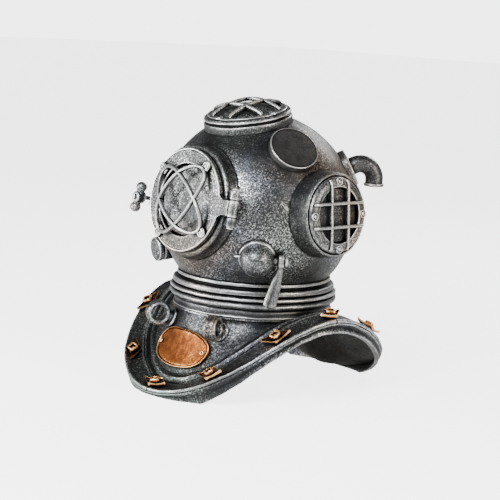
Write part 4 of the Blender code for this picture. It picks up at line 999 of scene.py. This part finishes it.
def build_latch():
    pivot = FRONT @ move(*LATCH) @ spin(-90.0, "X")
    axis = FRONT @ move(LATCH[0], LATCH[1], 0.0)
    bolt = Piece().lathe([(0, 1.5), (1.4, 1.5), (1.4, -1.5), (0, -1.5)], pivot, 24, closed=False, round_off=0.25, step=0.8)
    bolt.lathe([(0, NUT_HIGH + 1.2), (0.8, NUT_HIGH + 1.1), (1.05, NUT_HIGH + 0.8), (1.05, LATCH[2]), (0, LATCH[2])], axis, 20, closed=False, round_off=0.15, step=1.0)
    bolt.finish("swing_bolt_turned", "swing_bolt", "swing_bolt", "worn_silver", M_BRIGHT, cast=0.03)
    pin = [(0, 4.2), (0.9, 4.1), (1.1, 3.8), (1.1, 3.4), (0.65, 3.3), (0.65, -3.3), (1.1, -3.4), (1.1, -3.8), (0.9, -4.1), (0, -4.2)]
    Piece().lathe(pin, pivot, 16, closed=False, round_off=0.1, step=1.0).finish(
        "swing_bolt_pin_turned", "swing_bolt_pin", "bonnet", "worn_silver", M_BRIGHT, cast=0.02)
    m = axis @ spin(-14.0)
    nut = Piece().lathe(
        [(1.3, NUT_HIGH), (2.3, NUT_HIGH), (2.75, NUT_HIGH - 0.5), (2.6, NUT_HIGH - 1.5), (2.5, NUT_LOW + 1.2), (3.0, NUT_LOW + 0.4),
         (3.0, NUT_LOW), (1.3, NUT_LOW)], m, 32, round_off=0.3, step=0.8)
    middle = (NUT_LOW + NUT_HIGH) / 2.0
    for sign in (-1, 1):
        key = [(0, 1.2 * sign, middle - 0.3), (0, 2.8 * sign, middle - 0.2), (0, 4.4 * sign, middle), (0, 5.6 * sign, middle + 0.2)]
        nut.sweep(smooth_path(key, 16), lambda t: oval(3.6 + 1.4 * t * t, 3.6, 16, 2.2), m)
        nut.ball((2.75, 2.6, 2.55), m @ move(0.0, 5.2 * sign, middle + 0.1), 28)
    nut.finish("latch_wing_nut_cast", "latch_wing_nut", "latch_nut", "antique_silver", M_SILVER, cast=0.10)


# ---------------------------------------------------------------- breastplate


def build_breastplate():
    saddle_loft(Piece(), shell_section, 0.0, 360.0, 144 * FINE).finish(
        "saddle_shell", "breastplate", "base", "antique_silver", M_SADDLE, cast=0.16)
    quarters = {"front_left": 0.0, "rear_left": 90.0, "rear_right": 180.0, "front_right": 270.0}
    for name, start in quarters.items():
        saddle_loft(Piece(), strap_section, start + 0.5, start + 89.5, 44 * FINE).finish(
            "strap_" + name, "brail_" + name, "base", "antique_silver", M_SADDLE, cast=0.16)


def wing_nut(index):
    """Pointed plate with raised wavy edges and upturned tips, around a square boss in a hollow."""
    m = band_frame(30.0 * index, 0.3) @ spin(NUT_TURNS[index])
    nut = Piece()
    rows_n, cols_n = 49, 21
    length = 7.5

    def half_width(u):
        tip = 1.0 - abs(u)
        return 0.25 + 4.3 * tip**1.22

    def level(u, v):
        rim = 0.75 * abs(v) ** 9.0 + 0.35 * abs(u) ** 8.0
        tips = 1.15 * abs(u) ** 2.0
        corner = 0.55 * bell(u, 0.0, 0.22) * abs(v) ** 3.0
        return 1.0 + rim * (1.0 - 0.35 * abs(u)) + tips + corner + 0.12 * math.sin(u * 5.0) * v

    rows = []
    for i in range(rows_n):
        u = -1.0 + 2.0 * i / (rows_n - 1)
        width = half_width(u)
        top, bottom = [], []
        for j in range(cols_n):
            v = -1.0 + 2.0 * j / (cols_n - 1)
            v = math.copysign(1.0 - (1.0 - abs(v)) ** 1.4, v)
            y = v * width + 0.35 * math.sin(u * math.pi) * (1.0 - abs(u))
            top.append((u * length, y, level(u, v)))
            bottom.append((u * length, y * 0.90, 0.45 + 1.1 * abs(u) ** 2.0))
        wall = [[], []]
        for side, j in enumerate((-1, 0)):
            for share in (0.3, 0.7):
                wall[side].append(tuple(a + (b - a) * share for a, b in zip(top[j], bottom[j])))
        rows.append(top + wall[0] + bottom[::-1] + wall[1][::-1])
    nut.grid(rows, False, True, m, cap=True)
    ring = subdivide(soften([(1.75, 1.75), (-1.75, 1.75), (-1.75, -1.75), (1.75, -1.75)], 0.7), 0.45)
    turned = m @ spin(45.0)
    nut.sweep([(x, y, 2.2) for x, y in ring], lambda t: oval(1.15, 3.0, 12, 3.0), turned, closed=True)
    nut.lathe([(0, 2.9), (0.55, 2.8), (0.85, 2.4), (0.9, 1.0), (0, 1.0)], m, 20, closed=False, round_off=0.2, step=0.5)
    nut.lathe([(0, 1.2), (2.4, 1.1), (2.6, 0.0), (0, 0.0)], m, 24, closed=False, round_off=0.2, step=0.7)
    name = f"wing_nut_{index + 1:02d}"
    nut.finish(name + "_cast", name, "base", "copper", M_COPPER, cast=0.12)


def build_name_plate():
    plate = Piece()
    heights = [
        (0.0, 1.2), (0.15, 1.2), (0.3, 1.2), (0.45, 1.2), (0.6, 1.2), (0.72, 1.2), (0.82, 1.2), (0.88, 1.2), (0.905, 1.15), (0.925, 0.8),
        (0.94, 0.8), (0.955, 1.3), (0.97, 1.6), (0.985, 1.55), (0.997, 1.2), (1.0, 0.5), (0.8, 0.45), (0.4, 0.45), (0.0, 0.45),
    ]
    rows = []
    count = 64 * FINE
    for k in range(count):
        a = 2.0 * math.pi * k / count
        wave = 1.0 + 0.008 * math.sin(3 * a + 1.0) + 0.006 * math.sin(7 * a)
        x = PLATE_HALF[0] * wave * math.copysign(abs(math.cos(a)) ** 0.86, math.cos(a))
        y = PLATE_HALF[1] * wave * math.copysign(abs(math.sin(a)) ** 0.86, math.sin(a))
        rows.append([tuple(plate_point(x * s, y * s, h)) for s, h in heights])
    plate.grid(rows, True, False)
    plate.finish("name_plate_cast", "name_plate", "base", "copper", M_PLATE, cast=0.08)
    for tag, sign in (("left", 1), ("right", -1)):
        spot = plate_point(RIVET_X * sign, 0.0, 1.35)
        azimuth = math.degrees(math.atan2(spot.x, -spot.y))
        m = move(*spot) @ facing(azimuth, PLATE_TILT)
        profile = [(0, 0.35), (0.35, 0.35), (0.5, 0.7), (0.85, 0.75), (1.15, 0.5), (1.2, 0.1), (0, 0.1)]
        rivet = Piece().lathe(profile, m, 24, closed=False, round_off=0.12, step=0.3)
        rivet.finish("plate_rivet_cast_" + tag, "plate_rivet_" + tag, "base", "copper", M_COPPER, cast=0.03)


def build_lashing_eyes():
    for tag, sign in (("left", 1), ("right", -1)):
        angle = EYE_ANGLE * sign
        centre = around(angle, *EYE_CENTRE)
        across = move(*centre) @ facing(angle + 90.0, 0.0)
        stand = move(*centre) @ facing(angle, EYE_TILT)
        eye = Piece().lathe(
            [(EYE_HOLE_R, 2.6), (EYE_HOLE_R + 0.8, 3.25), (EYE_R - 1.0, 3.2), (EYE_R, 1.9), (EYE_R, -1.9), (EYE_R - 1.0, -3.2),
             (EYE_HOLE_R + 0.8, -3.25), (EYE_HOLE_R, -2.6)], across, 56, round_off=0.5, step=0.8)
        foot = [(0.0, -4.4), (2.6, -4.6), (3.0, -5.6), (3.4, -6.6), (4.6, -7.1), (4.9, -7.6), (4.9, -11.5), (0.0, -11.5)]
        eye.lathe(foot, stand, 40, closed=False, round_off=0.4, step=0.9)
        eye.finish("lashing_eye_cast_" + tag, "lashing_eye_" + tag, "base", "antique_silver", M_SADDLE, cast=0.14)


def build_air_supply():
    radius = apron_radius(180.0, INLET_Z)
    inlet = move(*around(180.0, radius, INLET_Z)) @ facing(180.0, 0.0)
    profile = [
        (1.3, 12.0), (2.1, 12.0), (2.9, 9.5), (2.1, 9.3), (2.1, 9.0), (2.85, 6.9), (2.1, 6.7), (2.1, 4.1), (4.9, 4.0), (5.0, 3.8),
        (5.0, 2.9), (4.9, 2.8), (2.9, 2.7), (2.9, -7.0), (1.3, -7.0),
    ]
    Piece().lathe(profile, inlet, 40, round_off=0.12, step=1.2).finish(
        "airline_inlet_moulded", "airline_inlet", "base", "inlet_plastic", M_PLASTIC, cast=0.0)
    bar_z = NECK_TOP - 1.5
    bridge = Piece()
    half = RING_BORE - 1.5
    outline = [(-half, -3.5), (-7.0, -3.5), (7.0, -3.5), (half, -3.5), (half, 3.5), (7.0, 3.5), (-7.0, 3.5), (-half, 3.5)]
    bridge.slab(subdivide(outline, 2.0), bar_z - 1.1, bar_z + 1.1, None, bevel=0.3)
    bridge.lathe([(0, bar_z + 1.1), (7.5, bar_z + 1.1), (7.5, bar_z - 1.1), (2.0, bar_z - 1.1), (2.0, bar_z - 6.0), (0, bar_z - 6.0)], None, 40, closed=False, round_off=0.3, step=1.2)
    bridge.finish("stone_bridge_moulded", "stone_bracket", "base", "inlet_plastic", M_PLASTIC, cast=0.0)
    low = bar_z + 1.4
    stone = [(0.0, low + 22.0), (5.0, low + 22.0), (6.2, low + 20.8), (6.2, low + 1.2), (5.0, low), (0.0, low)]
    Piece().lathe(stone, None, 56, closed=False, round_off=0.6, step=0.7).finish(
        "air_stone_bonded", "air_stone", "base", "air_stone", M_STONE, cast=0.18)
    inner_end = inlet @ Vector((0.0, 0.0, -7.3))
    start = Vector((0.0, 0.0, bar_z - 6.3))
    path = []
    for step in range(49):
        t = step / 48.0
        down = (1 - t) ** 3 * start + 3 * (1 - t) ** 2 * t * (start + Vector((0.0, 0.0, -16.0)))
        path.append(tuple(down + 3 * (1 - t) * t**2 * (inner_end + Vector((0.0, -20.0, 0.0))) + t**3 * inner_end))
    Piece().sweep(path, lambda t: oval(5.6, 5.6, 24, 2.0), None, up=(1, 0, 0)).finish(
        "air_tube_silicone", "air_tube", "base", "clear_tube", M_TUBE, cast=0.0)


# ---------------------------------------------------------------- wear and painted shade


def bake_wear_and_shade():
    """Stores on each vertex how open it is to its surroundings and how sharply the surface bends there; the paints
    darken closed spots and creases with painted shade and brighten edges as wear.
    """
    verts, faces, spans = [], [], []
    base = 0
    for obj in PIECES:
        mesh = obj.data
        co = np.zeros(len(mesh.vertices) * 3)
        mesh.vertices.foreach_get("co", co)
        co = co.reshape(-1, 3)
        no = np.zeros(len(mesh.vertices) * 3)
        mesh.vertex_normals.foreach_get("vector", no)
        no = no.reshape(-1, 3)
        ends = np.zeros(len(mesh.edges) * 2, int)
        mesh.edges.foreach_get("vertices", ends)
        ends = ends.reshape(-1, 2)
        a, b = ends[:, 0], ends[:, 1]
        gap = co[b] - co[a]
        length2 = np.maximum((gap**2).sum(1), (0.08 * MM) ** 2)
        bend = ((no[b] - no[a]) * gap).sum(1) / length2 * MM
        total = np.zeros(len(co))
        weight = np.full(len(co), 1e-9)
        for end in (a, b):
            np.add.at(total, end, bend)
            np.add.at(weight, end, 1.0)
        curve = np.clip(total / weight, -2.5, 2.5)
        for _ in range(2):
            spread = np.zeros(len(co))
            np.add.at(spread, a, curve[b])
            np.add.at(spread, b, curve[a])
            curve = 0.5 * curve + 0.5 * spread / weight
        # positive on convex edges, which the paints brighten as rubbed wear; negative in concave creases, which they
        # darken as painted shade
        edge_wear_and_crease_shade = np.clip(curve * 0.5, -0.6, 0.6)
        attribute = mesh.attributes.new("edge_wear_and_crease_shade", "FLOAT", "POINT")
        attribute.data.foreach_set("value", edge_wear_and_crease_shade.astype(np.float32))
        mesh.calc_loop_triangles()
        tris = np.zeros(len(mesh.loop_triangles) * 3, int)
        mesh.loop_triangles.foreach_get("vertices", tris)
        verts.append(co)
        faces.append(tris.reshape(-1, 3) + base)
        spans.append((obj, co, no))
        base += len(co)
    tree = BVHTree.FromPolygons(np.vstack(verts).tolist(), np.vstack(faces).tolist(), all_triangles=True)
    rays = 14
    golden = math.pi * (3.0 - math.sqrt(5.0))
    fan = []
    for k in range(rays):
        z = math.sqrt((k + 0.7) / (rays + 0.4))
        r = math.sqrt(max(0.0, 1.0 - z * z))
        fan.append((r * math.cos(golden * k), r * math.sin(golden * k), z))
    reach = 6.5 * MM
    cast = tree.ray_cast
    for obj, co, no in spans:
        values = np.zeros(len(co), np.float32)
        for i in range(len(co)):
            n = Vector(no[i])
            if n.length < 0.5:
                values[i] = 1.0
                continue
            origin = Vector(co[i]) + n * (0.12 * MM)
            side = n.orthogonal().normalized()
            other = n.cross(side)
            blocked = 0.0
            for x, y, z in fan:
                hit = cast(origin, side * x + other * y + n * z, reach)[3]
                if hit is not None:
                    blocked += 1.0 - (hit / reach) ** 1.5
            values[i] = 1.0 - blocked / rays
        # open_sky: low in recesses and under or between parts, where the paints put painted shade
        attribute = obj.data.attributes.new("open_sky", "FLOAT", "POINT")
        attribute.data.foreach_set("value", values)


# ---------------------------------------------------------------- stage


def build_stage():
    mesh = bpy.data.meshes.new("floor")
    size = 6.0
    mesh.from_pydata([(-size, -size, 0), (size, -size, 0), (size, size, 0), (-size, size, 0)], [], [(0, 1, 2, 3)])
    floor = bpy.data.objects.new("floor", mesh)
    bpy.context.scene.collection.objects.link(floor)
    material = bpy.data.materials.new("pale_floor")
    material.use_nodes = True
    tree = material.node_tree
    shader = tree.nodes["Principled BSDF"]
    shader.inputs["Base Color"].default_value = (0.92, 0.92, 0.92, 1.0)
    shader.inputs["Roughness"].default_value = 0.9
    shader.inputs["Emission Color"].default_value = (1.0, 1.0, 1.0, 1.0)
    seen = tree.nodes.new("ShaderNodeLightPath")
    glow = tree.nodes.new("ShaderNodeMapRange")
    glow.inputs["To Min"].default_value = 0.20
    glow.inputs["To Max"].default_value = 3.6
    tree.links.new(seen.outputs["Is Camera Ray"], glow.inputs["Value"])
    tree.links.new(glow.outputs["Result"], shader.inputs["Emission Strength"])
    mesh.materials.append(material)
    world = bpy.data.worlds.new("studio")
    bpy.context.scene.world = world
    world.use_nodes = True
    tree = world.node_tree
    background = tree.nodes["Background"]
    coord = tree.nodes.new("ShaderNodeTexCoord")
    split = tree.nodes.new("ShaderNodeSeparateXYZ")
    ramp = tree.nodes.new("ShaderNodeValToRGB")
    tree.links.new(coord.outputs["Generated"], split.inputs[0])
    tree.links.new(split.outputs["Z"], ramp.inputs["Fac"])
    ramp.color_ramp.elements[0].position = 0.05
    ramp.color_ramp.elements[0].color = (0.50, 0.50, 0.50, 1.0)
    ramp.color_ramp.elements[1].position = 0.55
    ramp.color_ramp.elements[1].color = (0.07, 0.07, 0.075, 1.0)
    tree.links.new(ramp.outputs["Color"], background.inputs["Color"])
    backdrop = tree.nodes.new("ShaderNodeBackground")
    backdrop.inputs["Strength"].default_value = 4.4
    seen = tree.nodes.new("ShaderNodeLightPath")
    pick = tree.nodes.new("ShaderNodeMixShader")
    tree.links.new(seen.outputs["Is Camera Ray"], pick.inputs[0])
    tree.links.new(background.outputs[0], pick.inputs[1])
    tree.links.new(backdrop.outputs[0], pick.inputs[2])
    tree.links.new(pick.outputs[0], tree.nodes["World Output"].inputs["Surface"])
    backdrop.inputs["Color"].default_value = (1.0, 1.0, 1.0, 1.0)


def area_light(name, azimuth, elevation, distance, size, power, colour):
    data = bpy.data.lights.new(name, "AREA")
    data.shape = "RECTANGLE"
    data.size = size[0]
    data.size_y = size[1]
    data.energy = power
    data.color = colour
    light = bpy.data.objects.new(name, data)
    bpy.context.scene.collection.objects.link(light)
    target = Vector((0.0, 0.0, 0.075))
    place = target + direction(azimuth, elevation) * distance
    light.matrix_world = Matrix.Translation(place) @ (place - target).to_track_quat("Z", "Y").to_matrix().to_4x4()
    return light


def build_camera():
    right = Vector((0.67459, 0.73591, 0.05796))
    up = Vector((-0.15286, 0.06245, 0.98627))
    ahead = Vector((-0.72219, 0.67419, -0.15462))
    data = bpy.data.cameras.new("camera")
    data.lens = 108.0
    data.sensor_width = 36.0
    camera = bpy.data.objects.new("camera", data)
    matrix = Matrix((right, up, -ahead)).transposed().to_4x4()
    matrix.translation = Vector((542.138, -509.713, 95.907 + DOME_Z)) * MM
    camera.matrix_world = matrix
    bpy.context.scene.collection.objects.link(camera)
    bpy.context.scene.camera = camera


build_breastplate()
build_rings()
for number in range(12):
    wing_nut(number)
build_name_plate()
build_lashing_eyes()
build_air_supply()
build_bonnet()
build_front_frame()
build_door()
build_latch()
for which in (1, -1):
    build_side_window(which)
    build_gooseneck(which)
build_top_window()
build_disc()
build_exhaust()
build_spitcock()
bake_wear_and_shade()
build_stage()
area_light("key_softbox", 20.0, 33.0, 0.60, (0.22, 0.26), 5.5, (0.93, 0.96, 1.0))
area_light("front_softbox", -30.0, 5.0, 0.60, (0.24, 0.26), 4.6, (1.0, 1.0, 1.0))
area_light("fill_softbox", 100.0, 16.0, 0.70, (0.22, 0.36), 4.0, (1.0, 0.93, 0.84))
area_light("rear_softbox", -165.0, 30.0, 0.70, (0.36, 0.16), 1.6, (1.0, 1.0, 1.0))
build_camera()
